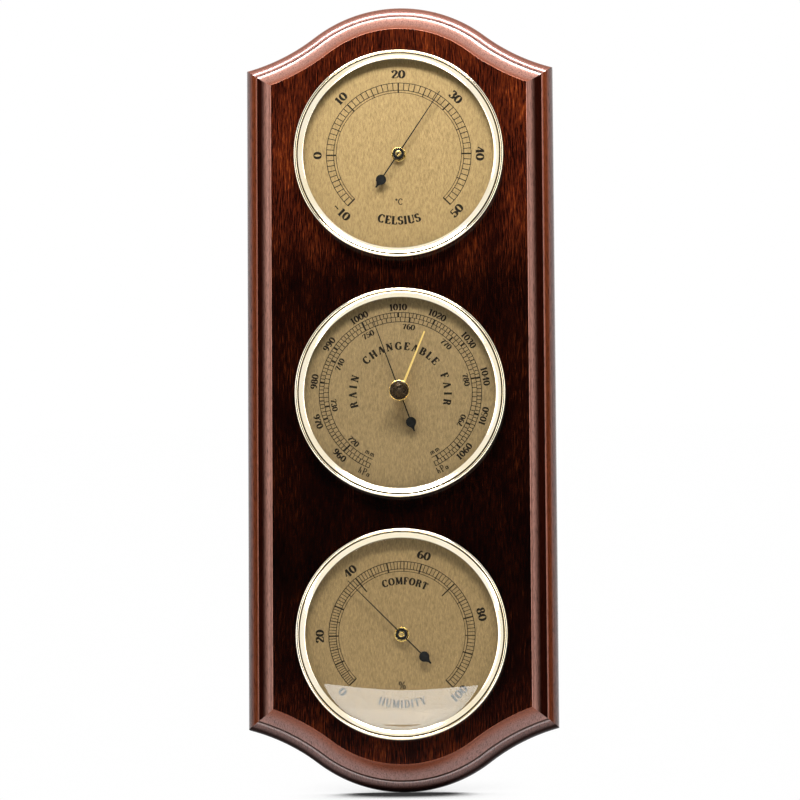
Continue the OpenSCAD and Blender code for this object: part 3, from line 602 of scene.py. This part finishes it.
def put_glyph(ink, letter, place, weight):
    thick, thin = WEIGHTS[weight]
    for kind, *shape in GLYPHS[letter][1]:
        if kind == "line":
            ink.stroke(shape, place, thick, thin, 1.0)
        elif kind == "thin":
            ink.stroke(shape, place, thin * 1.1, thin)
        elif kind == "level":
            start, end, y = shape
            ink.stroke([(start, y), (end, y)], place, thin, thin)
        elif kind == "bar":
            start, end, y, thickness = shape
            ink.stroke([(start, y), (end, y)], place, thickness, thickness)
        elif kind == "dot":
            x, y, r = shape
            ink.dot(x, y, r * (1.2 if weight == "bold" else 1.0), place)
        else:
            ink.stroke(shape[0], place, thick, thin, closed=kind == "closed")


def width(text, space):
    return sum(GLYPHS[letter][0] for letter in text) + space * (len(text) - 1)


def curved(ink, text, bearing, r, height, flip=False, space=0.06, weight="plain", squeeze=1.0):
    """Text along a circle through the middle of its height. flip turns it to be read from below."""
    start = -width(text, space) * height * squeeze / 2
    for letter in text:
        wide = GLYPHS[letter][0] * height * squeeze
        swing = (start + wide / 2) / r
        turn = math.radians(bearing) + (-swing if flip else swing)

        def place(gx, gy, turn=turn, wide=wide):
            x = gx * height * squeeze - wide / 2
            y = (gy - 0.5) * height
            if flip:
                x, y = -x, -y
            y += r
            return (x * math.cos(turn) + y * math.sin(turn), -x * math.sin(turn) + y * math.cos(turn))

        put_glyph(ink, letter, place, weight)
        start += wide + space * height * squeeze


def unit(ink, text, y, height, squeeze=1.0):
    """The sign of a unit in light strokes, level under the dial's centre."""
    space = 0.06
    start = -width(text, space) * height * squeeze / 2
    for letter in text:
        def place(gx, gy, x=start):
            return (x + gx * height * squeeze, y + (gy - 0.5) * height)

        put_glyph(ink, letter, place, "light")
        start += (GLYPHS[letter][0] + space) * height * squeeze


def number(ink, value, bearing, r, height, squeeze):
    """A number along a circle, turned over in the lower part so that it never stands on its head."""
    curved(ink, str(value), bearing, r, height, flip=abs(bearing) > 95, space=0.03, squeeze=squeeze)


def rings(ink, rows, first, last):
    for r, line in rows:
        ink.ring(r, line, first, last)


def graduate(ink, bearing, value, inner, short, outer, lines):
    """One tick, as wide as lines says for tens, for fives and for the rest, which start at short."""
    tens, fives, others = lines
    if value % 10 == 0:
        ink.tick(bearing, inner, outer, tens)
    elif value % 5 == 0:
        ink.tick(bearing, inner, outer, fives)
    else:
        ink.tick(bearing, short, outer, others)


def print_on(dial, ink):
    verts = [point(x, DIALS[dial] + y, DIAL_H + INK_LIFT) for x, y in ink.verts]
    mesh_object(dial + "_scale", verts, ink.faces, "ink", "board", smooth=False)


# Fits the printed sizes to the scale rings in the photograph
FIT = 0.9903
SCALE_OUT = 35.6 * FIT
SCALE_SHORT = 32.0 * FIT
SCALE_IN = 30.8 * FIT
SCALE_RINGS = ((SCALE_OUT, 0.34), (SCALE_SHORT, 0.34), (SCALE_IN, 0.27))
RING_OVERLAP = 0.3


def thermo_bearing(celsius):
    return (celsius - 20) * 4.5


def thermo_scale():
    ink = Print()
    low, high = -10, 50
    rings(ink, SCALE_RINGS, thermo_bearing(low) - RING_OVERLAP, thermo_bearing(high) + RING_OVERLAP)
    for celsius in range(low, high + 1):
        bearing = thermo_bearing(celsius)
        graduate(ink, bearing, celsius, SCALE_IN, SCALE_SHORT, SCALE_OUT, (0.68, 0.42, 0.38))
    for celsius in range(low, high + 1, 10):
        number(ink, celsius, thermo_bearing(celsius), 40.0 * FIT, 4.0 * FIT, 1.36)
    unit(ink, "*C", -23.5 * FIT, 3.0 * FIT, 1.05)
    curved(ink, "CELSIUS", 180, 32.8 * FIT, 3.9 * FIT, flip=True, space=0.08, weight="bold", squeeze=1.12)
    print_on("thermo", ink)


def hpa_bearing(hpa):
    return (hpa - 1010) * 2.683 - 1.15


def mm_bearing(mm):
    return (mm - 760) * 3.577 + 7.6


BARO_OUT = 39.75 * FIT
BARO_MID = 37.5 * FIT
BARO_IN = 35.2 * FIT
BARO_RINGS = ((BARO_OUT, 0.338), (BARO_MID, 0.286), (BARO_IN, 0.338))
HPA_LOW = 952
HPA_HIGH = 1068


def pressure_row(ink, values, last_number, bearing, inner, outer, lines, number_r, number_h):
    """Ticks and numbers of one of the barometer's two rows, between the ends of the scale."""
    for value in values:
        turn = bearing(value)
        if not hpa_bearing(HPA_LOW) <= turn <= hpa_bearing(HPA_HIGH):
            continue
        graduate(ink, turn, value, inner, inner, outer, lines)
        if value % 10 == 0 and value <= last_number:
            number(ink, value, turn, number_r, number_h, 1.2)


def baro_scale():
    ink = Print()
    rings(ink, BARO_RINGS, hpa_bearing(HPA_LOW) - 0.2, hpa_bearing(HPA_HIGH) + 0.2)
    pressure_row(ink, range(HPA_LOW, HPA_HIGH + 1), 1060, hpa_bearing, BARO_MID, BARO_OUT,
                 (0.95, 0.48, 0.36), 42.5 * FIT, 3.15 * FIT)
    pressure_row(ink, range(714, 801), 790, mm_bearing, BARO_IN, BARO_MID,
                 (0.85, 0.4, 0.34), 32.9 * FIT, 2.7 * FIT)
    for word, bearing, space, squeeze in (("RAIN", -87.5, 0.5, 1.08), ("CHANGEABLE", 1.2, 0.3, 1.14),
                                          ("FAIR", 85.5, 0.55, 1.08)):
        curved(ink, word, bearing, 23.3 * FIT, 3.6 * FIT, space=space, weight="bold", squeeze=squeeze)
    for mm_at, hpa_at in ((-152.9, -155.2), (149.8, 151.4)):
        curved(ink, "mm", mm_at, 32.5 * FIT, 3.1 * FIT, flip=True, space=0.08, weight="light")
        curved(ink, "hPa", hpa_at, 42.3 * FIT, 3.2 * FIT, flip=True, space=0.08, weight="light")
    print_on("baro", ink)


# Bearings of 0, 10, 20 and so on to 100 percent, and the comfortable span in tens
HUMIDITY = (-133.5, -113.9, -90.8, -66.4, -39.0, -11.7, 15.9, 46.5, 76.2, 106.3, 136.4)
COMFORT_TENS = (4, 7)


def hygro_scale():
    ink = Print()
    rings(ink, SCALE_RINGS, HUMIDITY[0] - RING_OVERLAP, HUMIDITY[-1] + RING_OVERLAP)
    for start, end in zip(HUMIDITY, HUMIDITY[1:]):
        for i in range(10):
            bearing = start + (end - start) * i / 10
            graduate(ink, bearing, i, SCALE_IN, SCALE_SHORT, SCALE_OUT, (0.68, 0.42, 0.31))
    ink.tick(HUMIDITY[-1], SCALE_IN, SCALE_OUT, 0.62)
    for tens in range(0, 11, 2):
        number(ink, tens * 10, HUMIDITY[tens], 40.0 * FIT, 3.9 * FIT, 1.3)
    for tens in COMFORT_TENS:
        ink.tick(HUMIDITY[tens], 27.0 * FIT, 31.0 * FIT, 0.6)
    curved(ink, "COMFORT", 3.7, 26.2 * FIT, 3.4 * FIT, weight="bold", space=0.12, squeeze=1.1)
    unit(ink, "%", -24.7 * FIT, 3.8 * FIT)
    curved(ink, "HUMIDITY", 180, 33.8 * FIT, 3.7 * FIT, flip=True, space=0.12)
    print_on("hygro", ink)


thermo_scale()
baro_scale()
hygro_scale()


# The board
def circle(x, y, r, n=96):
    turns = [2 * math.pi * k / n for k in range(n)]
    return [(x + r * math.cos(t), y + r * math.sin(t)) for t in turns]


def arch_centres():
    """From the board's centre: the height of the crown's centre, then the shoulder's centre."""
    half_w = BOARD_W / 2
    crown_y = HALF_H - CROWN_R
    climb = HALF_H - CORNER_DROP - crown_y
    to_corner = math.hypot(half_w, climb)
    reach = CROWN_R + SHOULDER_R
    along = (reach * reach - SHOULDER_R * SHOULDER_R + to_corner * to_corner) / (2 * to_corner)
    aside = math.sqrt(reach * reach - along * along)
    shoulder_x = (along * half_w - aside * climb) / to_corner
    shoulder_y = crown_y + (along * climb + aside * half_w) / to_corner
    return crown_y, shoulder_x, shoulder_y


ARCH_STEPS = 22
SIDE_STEPS = 4


def plan_loop(inset):
    """The outline, moved in by inset, clockwise from the upper apex, and the places of its four corners."""
    crown_y, shoulder_x, shoulder_y = arch_centres()
    edge = BOARD_W / 2 - inset
    crown_r = CROWN_R - inset
    shoulder_r = SHOULDER_R + inset
    meet = math.atan2(shoulder_y - crown_y, shoulder_x)
    last = math.acos((shoulder_x - edge) / shoulder_r)
    quarter = []
    for i in range(ARCH_STEPS):
        t = math.pi / 2 + (meet - math.pi / 2) * i / ARCH_STEPS
        quarter.append((crown_r * math.cos(t), crown_y + crown_r * math.sin(t)))
    for i in range(ARCH_STEPS + 1):
        t = meet + (last - meet) * i / ARCH_STEPS
        quarter.append((shoulder_x - shoulder_r * math.cos(t), shoulder_y - shoulder_r * math.sin(t)))
    corner = len(quarter) - 1
    for k in range(1, SIDE_STEPS):
        quarter.append((edge, quarter[corner][1] * (1 - k / SIDE_STEPS)))
    right = quarter + [(edge, 0.0)] + [(x, -y) for x, y in reversed(quarter)]
    whole = right + [(-x, y) for x, y in reversed(right[1:-1])]
    foot = len(right) - 1
    return whole, {corner, foot - corner, foot + corner, 2 * foot - corner}


# Rounded edges: insets and heights at the board's back, then steps inwards and down at the panel
BACK_ROUND = ((0.5, 0.0), (0.15, 0.15), (0.0, 0.5))
PANEL_ROUND = ((-0.03, 0.25), (0.03, 0.12), (0.12, 0.03), (0.3, 0.0))
BEAD_STEPS = 14
COVE_STEPS = 16
RISER = len(BACK_ROUND) + BEAD_STEPS


def moulding_profile():
    """Insets and heights of the edge's section, from the back to the panel."""
    foot = math.radians(COVE_FOOT)
    head = math.radians(COVE_HEAD)
    cove_r = COVE_W / (math.sin(head) - math.sin(foot))
    low = BOARD_T - cove_r * (math.cos(foot) - math.cos(head))
    across = BEAD_R + STEP_W - cove_r * math.sin(foot)
    centre_h = low + cove_r * math.cos(foot)
    bead_h = low - STEP_H - BEAD_R
    turns = [math.pi / 2 * k / BEAD_STEPS for k in range(BEAD_STEPS + 1)]
    bead = [(BEAD_R - BEAD_R * math.cos(t), bead_h + BEAD_R * math.sin(t)) for t in turns]
    slopes = [foot + (head - foot) * i / COVE_STEPS for i in range(COVE_STEPS + 1)]
    cove = [(across + cove_r * math.sin(t), centre_h - cove_r * math.cos(t)) for t in slopes]
    panel = [(cove[-1][0] + inwards, BOARD_T - down) for inwards, down in PANEL_ROUND]
    return list(BACK_ROUND) + bead + cove[:-1] + panel


def blend(a, b, t):
    t = min(1.0, max(0.0, t))
    t = t * t * (3 - 2 * t)
    return [p + (q - p) * t for p, q in zip(a, b)]


# Tint and gloss on the outer bead, its top, the riser, the cove's foot and the cove's head: the tint is
# painted light and shade, set apart for faces that look sideways, up and down
MOULDING_PAINTED_LIGHT = {
    "side": ([0.42, 0.62, 0.95, 1.0], [0.40, 0.28, 0.18, 0.05], [1.6, 1.7, 1.9, 1.0],
             [0.05, 0.025, 0.02, 0.0], [1.72, 2.25, 2.95, 0.55]),
    "top": ([0.68, 0.64, 0.64, 0.35], [0.8, 1.0, 1.4, 1.0], [0.25, 0.35, 0.5, 0.2],
            [1.0, 1.3, 1.7, 1.0], [1.08, 1.0, 0.95, 0.2]),
    "bottom": ([0.06, 0.06, 0.08, 0.0], [0.5, 0.6, 0.85, 0.8], [0.3, 0.4, 0.5, 0.3],
               [1.05, 1.35, 1.9, 1.0], [1.15, 0.98, 0.88, 0.3]),
}
BEAD_TURNS = 9
COVE_TURNS = 20.5


def varnish(step, rise, climb):
    """Painted light and shade, as a tint, and gloss at the four corners of a face on a step of the moulding.

    rise is 1 facing up and -1 facing down, climb is 1 on the left and -1 on the right."""
    parts = []
    for side, top, bottom in zip(*MOULDING_PAINTED_LIGHT.values()):
        parts.append(blend(blend(side, top, (rise - 0.2) / 0.4), bottom, (-rise - 0.2) / 0.4))
    bead, bead_top, riser, cove_foot, cove_head = parts
    cove_turns = COVE_TURNS + 1.5 * max(0.0, rise) + 2.2 * max(0.0, -climb) + 0.5 * max(0.0, climb)

    def tone(place):
        if place < len(BACK_ROUND):
            return [0.5 * c for c in bead]
        if place <= RISER:
            return blend(bead, bead_top, (place - BEAD_TURNS) / 5.0)
        return blend(cove_foot, cove_head, (place - cove_turns) / 8.0)

    if step == RISER:
        return riser * 4
    return tone(step) * 2 + tone(step + 1) * 2


class Shell:
    """A piece that is built up from loops of points on the face."""

    def __init__(self):
        self.verts = []
        self.faces = []

    def loop(self, points, h):
        first = len(self.verts)
        self.verts += [point(x, y, h) for x, y in points]
        return first

    def wall(self, points, h0, h1):
        low = self.loop(points, h0)
        high = self.loop(points, h1)
        self.faces += [(low + k, high + k, high + after, low + after) for k, after in pairs(len(points))]

    def cap(self, outer, holes, h, faces_front):
        """A flat face with holes."""
        first = len(self.verts)
        for points in [outer] + holes:
            self.loop(points, h)
        flat = [[Vector((x, y, 0)) for x, y in points] for points in [outer] + holes]
        for corners in geometry.tessellate_polygon(flat):
            a, b, c = (self.verts[first + k] for k in corners)
            as_is = ((b - a).cross(c - a).y < 0) == faces_front
            self.faces.append(tuple(first + k for k in (corners if as_is else reversed(corners))))


def stadium(x, y, r, n=20):
    """Two half circles with their centres at x and -x, joined by straight lines."""
    turns = [t * math.pi / n for t in range(n + 1)]
    right = [(x + r * math.sin(t), y + r * math.cos(t)) for t in turns]
    left = [(-x - r * math.sin(t), y - r * math.cos(t)) for t in turns]
    return right + left


def pocket():
    """The keyhole's pocket: a round hole with a neck above it."""
    rise = math.acos(POCKET_NECK_R / POCKET_R)
    turns = [rise - t * (math.pi + 2 * rise) / 30 for t in range(31)]
    hole = [(POCKET_R * math.cos(t), POCKET_R * math.sin(t)) for t in turns]
    tops = [t * math.pi / 14 for t in range(15)]
    return hole + [(-POCKET_NECK_R * math.cos(t), NECK_L + POCKET_NECK_R * math.sin(t)) for t in tops]


def stain_moulding(piece, outlines):
    """Gives the faces of the moulding their own material, and writes their painted light and shade and their
    gloss into the mesh.
    """
    piece.data.materials.append(MAT["edge"])
    n = len(outlines[0])
    band = (len(outlines) - 1) * n
    painted_light_and_gloss = []
    for step, outline in enumerate(outlines[:-1]):
        for k, (x0, y0) in enumerate(outline):
            x1, y1 = outline[(k + 1) % n]
            run = math.hypot(x1 - x0, y1 - y0) or 1.0
            painted_light_and_gloss += varnish(step, (x1 - x0) / run, (y1 - y0) / run)
    painted_light_and_gloss += [1.0] * (4 * sum(len(face.vertices) for face in list(piece.data.polygons)[band:]))
    tint = piece.data.color_attributes.new("painted_light_and_gloss", "FLOAT_COLOR", "CORNER")
    tint.data.foreach_set("color", painted_light_and_gloss)
    for face in list(piece.data.polygons)[:band]:
        face.material_index = 1


def board():
    shell = Shell()
    sharp = []
    outlines = []
    for step, (inset, h) in enumerate(moulding_profile()):
        outline, corners = plan_loop(inset)
        outlines.append(outline)
        n = len(outline)
        here = shell.loop([(x, DIALS["baro"] + y) for x, y in outline], h)
        below = here - n
        if step:
            shell.faces += [(below + k, below + after, here + after, here + k) for k, after in pairs(n)]
            sharp += [(below + c, here + c) for c in corners]
        if step in (RISER, RISER + 1):
            sharp += [(here + k, here + after) for k, after in pairs(n)]
    back, front = ([(x, DIALS["baro"] + y) for x, y in outlines[i]] for i in (0, -1))
    holes = [circle(0, y, CASE_HOLE_R) for y in DIALS.values()]
    recess = stadium(PLATE_W / 2 - PLATE_R, PLATE_Y, PLATE_R)
    screws = [circle(side * SCREW_X, PLATE_Y, SCREW_R, 24) for side in (-1, 1)]
    pocket_floor = PLATE_T + POCKET_D
    shell.cap(front, holes, BOARD_T, True)
    shell.cap(back, holes + [recess], 0.0, False)
    shell.cap(recess, [pocket()] + screws, PLATE_T, False)
    shell.cap(pocket(), [], pocket_floor, False)
    shell.wall(recess, 0.0, PLATE_T)
    shell.wall(pocket(), PLATE_T, pocket_floor)
    for hole in screws:
        shell.wall(hole, PLATE_T, SCREW_DEPTH)
    for hole in holes:
        shell.wall(hole, 0.0, BOARD_T)
    piece = mesh_object("board_wood", shell.verts, shell.faces, "wood", "board", ("backboard",), sharp=sharp)
    stain_moulding(piece, outlines)


board()


# Turned pieces
def bezel(dial):
    """Rim bead, groove darkened with painted shade, polished slope down to the lip over the glass, and the
    outer wall.
    """
    foot = [(WALL_IN, BOARD_T), (WALL_OUT, BOARD_T)]
    bead = arc(RIM_R, RIM_H, RIM_BEAD, -60, 180, 22)
    groove = [(GROOVE_OUT, GROOVE_H + EASE), (GROOVE_OUT - EASE, GROOVE_H),
              (GROOVE_IN + EASE, GROOVE_H), (GROOVE_IN, GROOVE_H + EASE)]
    slope = [(GROOVE_IN, CREST_H - 0.06), (GROOVE_IN - EASE, CREST_H), (GROOVE_IN - 0.12, CREST_H - 0.03),
             (LIP_R + 0.08, LIP_TOP + 0.06), (LIP_R, LIP_TOP)]
    under = [(LIP_R, LIP_LOW), (WALL_IN, LIP_LOW)]
    first = len(foot) + len(bead) - 3
    profile = foot + bead + groove + slope + under
    lathe(dial + "_rim", DIALS[dial], profile, "bezel", "board", (dial + "_bezel",),
          seg=256, band=("groove", first, first + 6))


def pane(dial):
    """The domed glass, flatter in the middle. The barometer's has a bore for the set hand's stem."""
    bore = STEM_BORE_R if dial == "baro" else 0.0
    radii = [bore + (DOME_R - bore) * i / 24 for i in range(25)]
    outer = [(r, PANE_TOP + DOME_RISE * (1 - (r / DOME_R) ** DOME_POWER)) for r in radii]
    inner = [(r, max(PANE_H, h - PANE_T)) for r, h in reversed(outer)]
    profile = outer + [(PANE_R, PANE_TOP), (PANE_R, PANE_H)] + inner
    lathe(dial + "_pane", DIALS[dial], profile, "glass", "board", (dial + "_glass",), seg=160)


def lifted(profile, height):
    return [(r, height + rise) for r, rise in profile]


# Radius of the rivet and its rise above the pointer, from the middle outwards
RIVET = ((0.55, 0.12), (0.62, 0.35), (0.85, 0.44), (1.2, 0.4), (1.48, 0.24), (1.6, 0.02))


def bush(dial):
    """The bush in the dial, with a rolled edge above and a nut below, and the rivet in the pointer's hub."""
    inside = [(BUSH_BORE, BUSH_LOW), (BUSH_BORE, BUSH_TOP), (2.6, BUSH_TOP)]
    rolled = arc(2.95, 23.2, 0.32, 150, 90, 4) + arc(3.28, 23.2, 0.32, 90, 0, 6)
    over = DIAL_H + BUSH_SEAT
    under = DIAL_H - DIAL_T - BUSH_SEAT
    seat = [(BUSH_R, over), (BUSH_NECK, over), (BUSH_NECK, under), (BUSH_NUT, under), (BUSH_NUT, BUSH_LOW)]
    lathe(dial + "_ring", DIALS[dial], inside + rolled + seat, "gilt", "board", (dial + "_bush",), seg=64)
    if dial != "baro":
        lathe(dial + "_rivet", DIALS[dial], lifted(RIVET, POINTER_TOP), "gilt", dial + "_movement",
              seg=48, closed=False)


for dial in DIALS:
    bezel(dial)
    pane(dial)
    bush(dial)


def knob_grip(y):
    """The toothed grip between the knob's foot and its rim."""
    radii = GRIP_TOOTH * GRIP_TEETH
    n = len(radii)
    verts = []
    for h in (KNOB_FOOT + 1.1, KNOB_RIM - 0.02):
        for k, r in enumerate(radii):
            verts.append(point(r * math.cos(2 * math.pi * k / n), y + r * math.sin(2 * math.pi * k / n), h))
    faces = [(k, after, n + after, n + k) for k, after in pairs(n)]
    faces += [tuple(reversed(range(n))), tuple(range(n, 2 * n))]
    mesh_object("knob_grip", verts, faces, "gilt", "set_hand", smooth=False)


def knob():
    """The setting knob: a dark cone in a gilt rim, on a toothed grip and a brass stem."""
    y = DIALS["baro"]
    cone = [(0.0, 0.2), (0.0, CONE_RISE), (0.25, CONE_RISE - 0.01), (0.45, CONE_RISE - 0.12),
            (0.58, CONE_RISE - 0.3), (CONE_R - 0.04, 0.5), (CONE_R, 0.38), (CONE_R, 0.2)]
    rim = [(4.6, -0.02), (KNOB_R - 0.06, 0.0), (KNOB_R, 0.08), (KNOB_R, 0.3), (KNOB_R - 0.04, 0.38),
           (KNOB_R - 0.14, 0.42), (KNOB_R - 0.22, 0.4)]
    flange = [(3.4, 0.05), (3.5, 0.2), (3.5, 1.15), (0.0, 1.15)]
    stem = [(STEM_R, STEM_H)] + lifted([(STEM_R, 0.05)] + flange, KNOB_FOOT) + [(0.0, STEM_H)]
    lathe("knob_front", y, lifted(cone, KNOB_RIM), "knob", "set_hand", ("baro_knob",), seg=96)
    lathe("knob_rim", y, lifted(rim, KNOB_RIM), "gilt", "set_hand", seg=96)
    knob_grip(y)
    lathe("knob_stem", y, stem, "brass", "set_hand", seg=64)


knob()


# Camera, fitted to the photograph: its place in degrees and metres, and how many pixels it is off centre
AZIMUTH = 2.586
ELEVATION = -6.645
ROLL = 0.386
DISTANCE = 2.376
LENS = 220.78
FOCAL_PX = 4906.3
OFF_UP_PX = 6.65
OFF_RIGHT_PX = 0.396

around = math.radians(AZIMUTH)
upwards = math.radians(ELEVATION)
to_camera = Vector((math.sin(around) * math.cos(upwards), -math.cos(around) * math.cos(upwards),
                    math.sin(upwards)))
centre = point(0, DIALS["baro"], BOARD_T)


def camera():
    forward = -to_camera
    level = forward.cross(Vector((0, 0, 1))).normalized()
    roll = math.radians(ROLL)
    up = (level.cross(forward) * math.cos(roll) + level * math.sin(roll)).normalized()
    across = forward.cross(up).normalized()
    spot = centre + to_camera * DISTANCE
    aim = centre - up * (OFF_UP_PX * DISTANCE / FOCAL_PX) - across * (OFF_RIGHT_PX * DISTANCE / FOCAL_PX)
    look = (aim - spot).normalized()
    side = look.cross(up).normalized()
    top = side.cross(look)
    data = bpy.data.cameras.new("camera")
    data.lens = LENS
    data.sensor_width = 36.0
    data.clip_start = 0.05
    data.clip_end = 50.0
    eye = add_object("camera", data)
    eye.matrix_world = Matrix(((side.x, top.x, -look.x, spot.x), (side.y, top.y, -look.y, spot.y),
                               (side.z, top.z, -look.z, spot.z), (0, 0, 0, 1)))
    bpy.context.scene.camera = eye


camera()


# Floor, with its half width in metres. The board leans back by LEAN degrees, so in its frame the floor tilts
LEAN = 9.65
FOOT_Y = -364.0
FLOOR_HALF = 3.0


def occlusion(m, distance, samples):
    return m.fill(m.add("ShaderNodeAmbientOcclusion", samples=samples), Distance=distance)["AO"]


def floor_material():
    """White where it is seen or mirrored, with a soft shadow near the foot, and plain to diffuse light."""
    m = Surface("floor_white")
    m.set(Base_Color=(0.8, 0.8, 0.8), Roughness=0.9)
    grain = m.noise(m.scaled(1, 1, 1), 30.0, 2.0)
    contact = m.ramp(occlusion(m, 0.07, 24),
                     (0.40, 0.05), (0.44, 0.28), (0.455, 0.48), (0.47, 0.75), (0.495, 1.0))
    behind = m.ramp(occlusion(m, 0.3, 12), (0.38, 0.76), (0.50, 0.84), (0.58, 1.0))
    shade = m.mix(0.005, m.mix(1.0, contact, behind, "MULTIPLY"), grain, "MULTIPLY")
    glow = m.fill(m.add("ShaderNodeEmission"), Color=shade)
    path = m.add("ShaderNodeLightPath").outputs
    mirrored = m.math("MAXIMUM", path["Is Glossy Ray"], path["Is Transmission Ray"])
    seen = m.math("MAXIMUM", path["Is Camera Ray"], mirrored)
    m.finish_with(seen, m.shader.outputs["BSDF"], glow["Emission"])
    return m.material


def floor():
    lean = math.radians(LEAN)
    across = Vector((1, 0, 0))
    back = Vector((0, -math.sin(lean), math.cos(lean))).cross(across)
    corners = ((-1, -1), (1, -1), (1, 1), (-1, 1))
    foot = point(0, FOOT_Y, 0.0)
    mesh = bpy.data.meshes.new("floor")
    verts = [tuple(foot + (across * x + back * y) * FLOOR_HALF) for x, y in corners]
    mesh.from_pydata(verts, [], [(0, 1, 2, 3)])
    mesh.materials.append(floor_material())
    add_object("floor", mesh)


floor()


# The studio is white. The glasses and the varnish mirror a dark hole in it, sized and placed in degrees
HOLE_LIFT = 14
HOLE_EDGE = 33
HOLE_CORE = 27


def studio():
    world = bpy.data.worlds.new("studio")
    bpy.context.scene.world = world
    world.use_nodes = True
    sky = Graph(world.node_tree)
    lift = Vector((0, 0, math.tan(math.radians(HOLE_LIFT))))
    facing = sky.add("ShaderNodeVectorMath", operation="DOT_PRODUCT")
    facing.inputs[1].default_value = (to_camera + lift).normalized()
    sky.link(sky.add("ShaderNodeTexCoord").outputs["Generated"], facing.inputs[0])
    hole = sky.ramp(facing.outputs["Value"], (math.cos(math.radians(HOLE_EDGE)), (0.96, 0.95, 0.94)),
                    (math.cos(math.radians(HOLE_CORE)), (0.03, 0.03, 0.03)))
    path = sky.add("ShaderNodeLightPath").outputs
    seen = sky.math("MAXIMUM", path["Is Camera Ray"], path["Is Transmission Ray"])
    power = sky.fill(sky.add("ShaderNodeMapRange"), Value=path["Is Diffuse Ray"], To_Min=1.0, To_Max=0.05)
    background = world.node_tree.nodes["Background"]
    sky.fill(background, Color=sky.mix(seen, hole, (1.0, 1.0, 1.0)), Strength=power["Result"])


studio()


# Lights, with distances and sizes in metres and power in watts
def area_light(name, location, rotation, across, high, power):
    data = bpy.data.lights.new(name, "AREA")
    data.shape = "RECTANGLE"
    data.size = across
    data.size_y = high
    data.energy = power
    lamp = add_object(name, data)
    lamp.location = location
    lamp.rotation_mode = "QUATERNION"
    lamp.rotation_quaternion = rotation
    return lamp


def softbox(name, direction, distance, across, high, power):
    """A light at a distance from the board's centre, turned towards it."""
    away = Vector(direction).normalized()
    area_light(name, centre + away * distance, (-away).to_track_quat("-Z", "Y"), across, high, power)


# The card in front of the foot shows as the pale crescent in the lowest glass, and lights no dull surface
CARD_TOP = -364.8
CARD_OUT = 500.0
CARD_H = 135.0
CARD_TURN = 1.0


def low_card():
    turn = Quaternion((0, 1, 0), math.radians(CARD_TURN)) @ Vector((0, 1, 0)).to_track_quat("-Z", "Z")
    card = area_light("low_card", point(0, CARD_TOP - CARD_H / 2, CARD_OUT), turn, 1.0, CARD_H * MM, 2.3)
    card.visible_diffuse = False


softbox("softbox_top", point(0, 402, 492) - centre, 0.742, 0.6, 0.15, 9.75)
low_card()
softbox("softbox_left", (-0.85, -0.5, 0.1), 1.2, 0.35, 0.9, 1.7)
softbox("softbox_right", (0.85, -0.5, 0.1), 1.2, 0.35, 0.9, 2.0)

bpy.context.scene.view_settings.view_transform = "Standard"
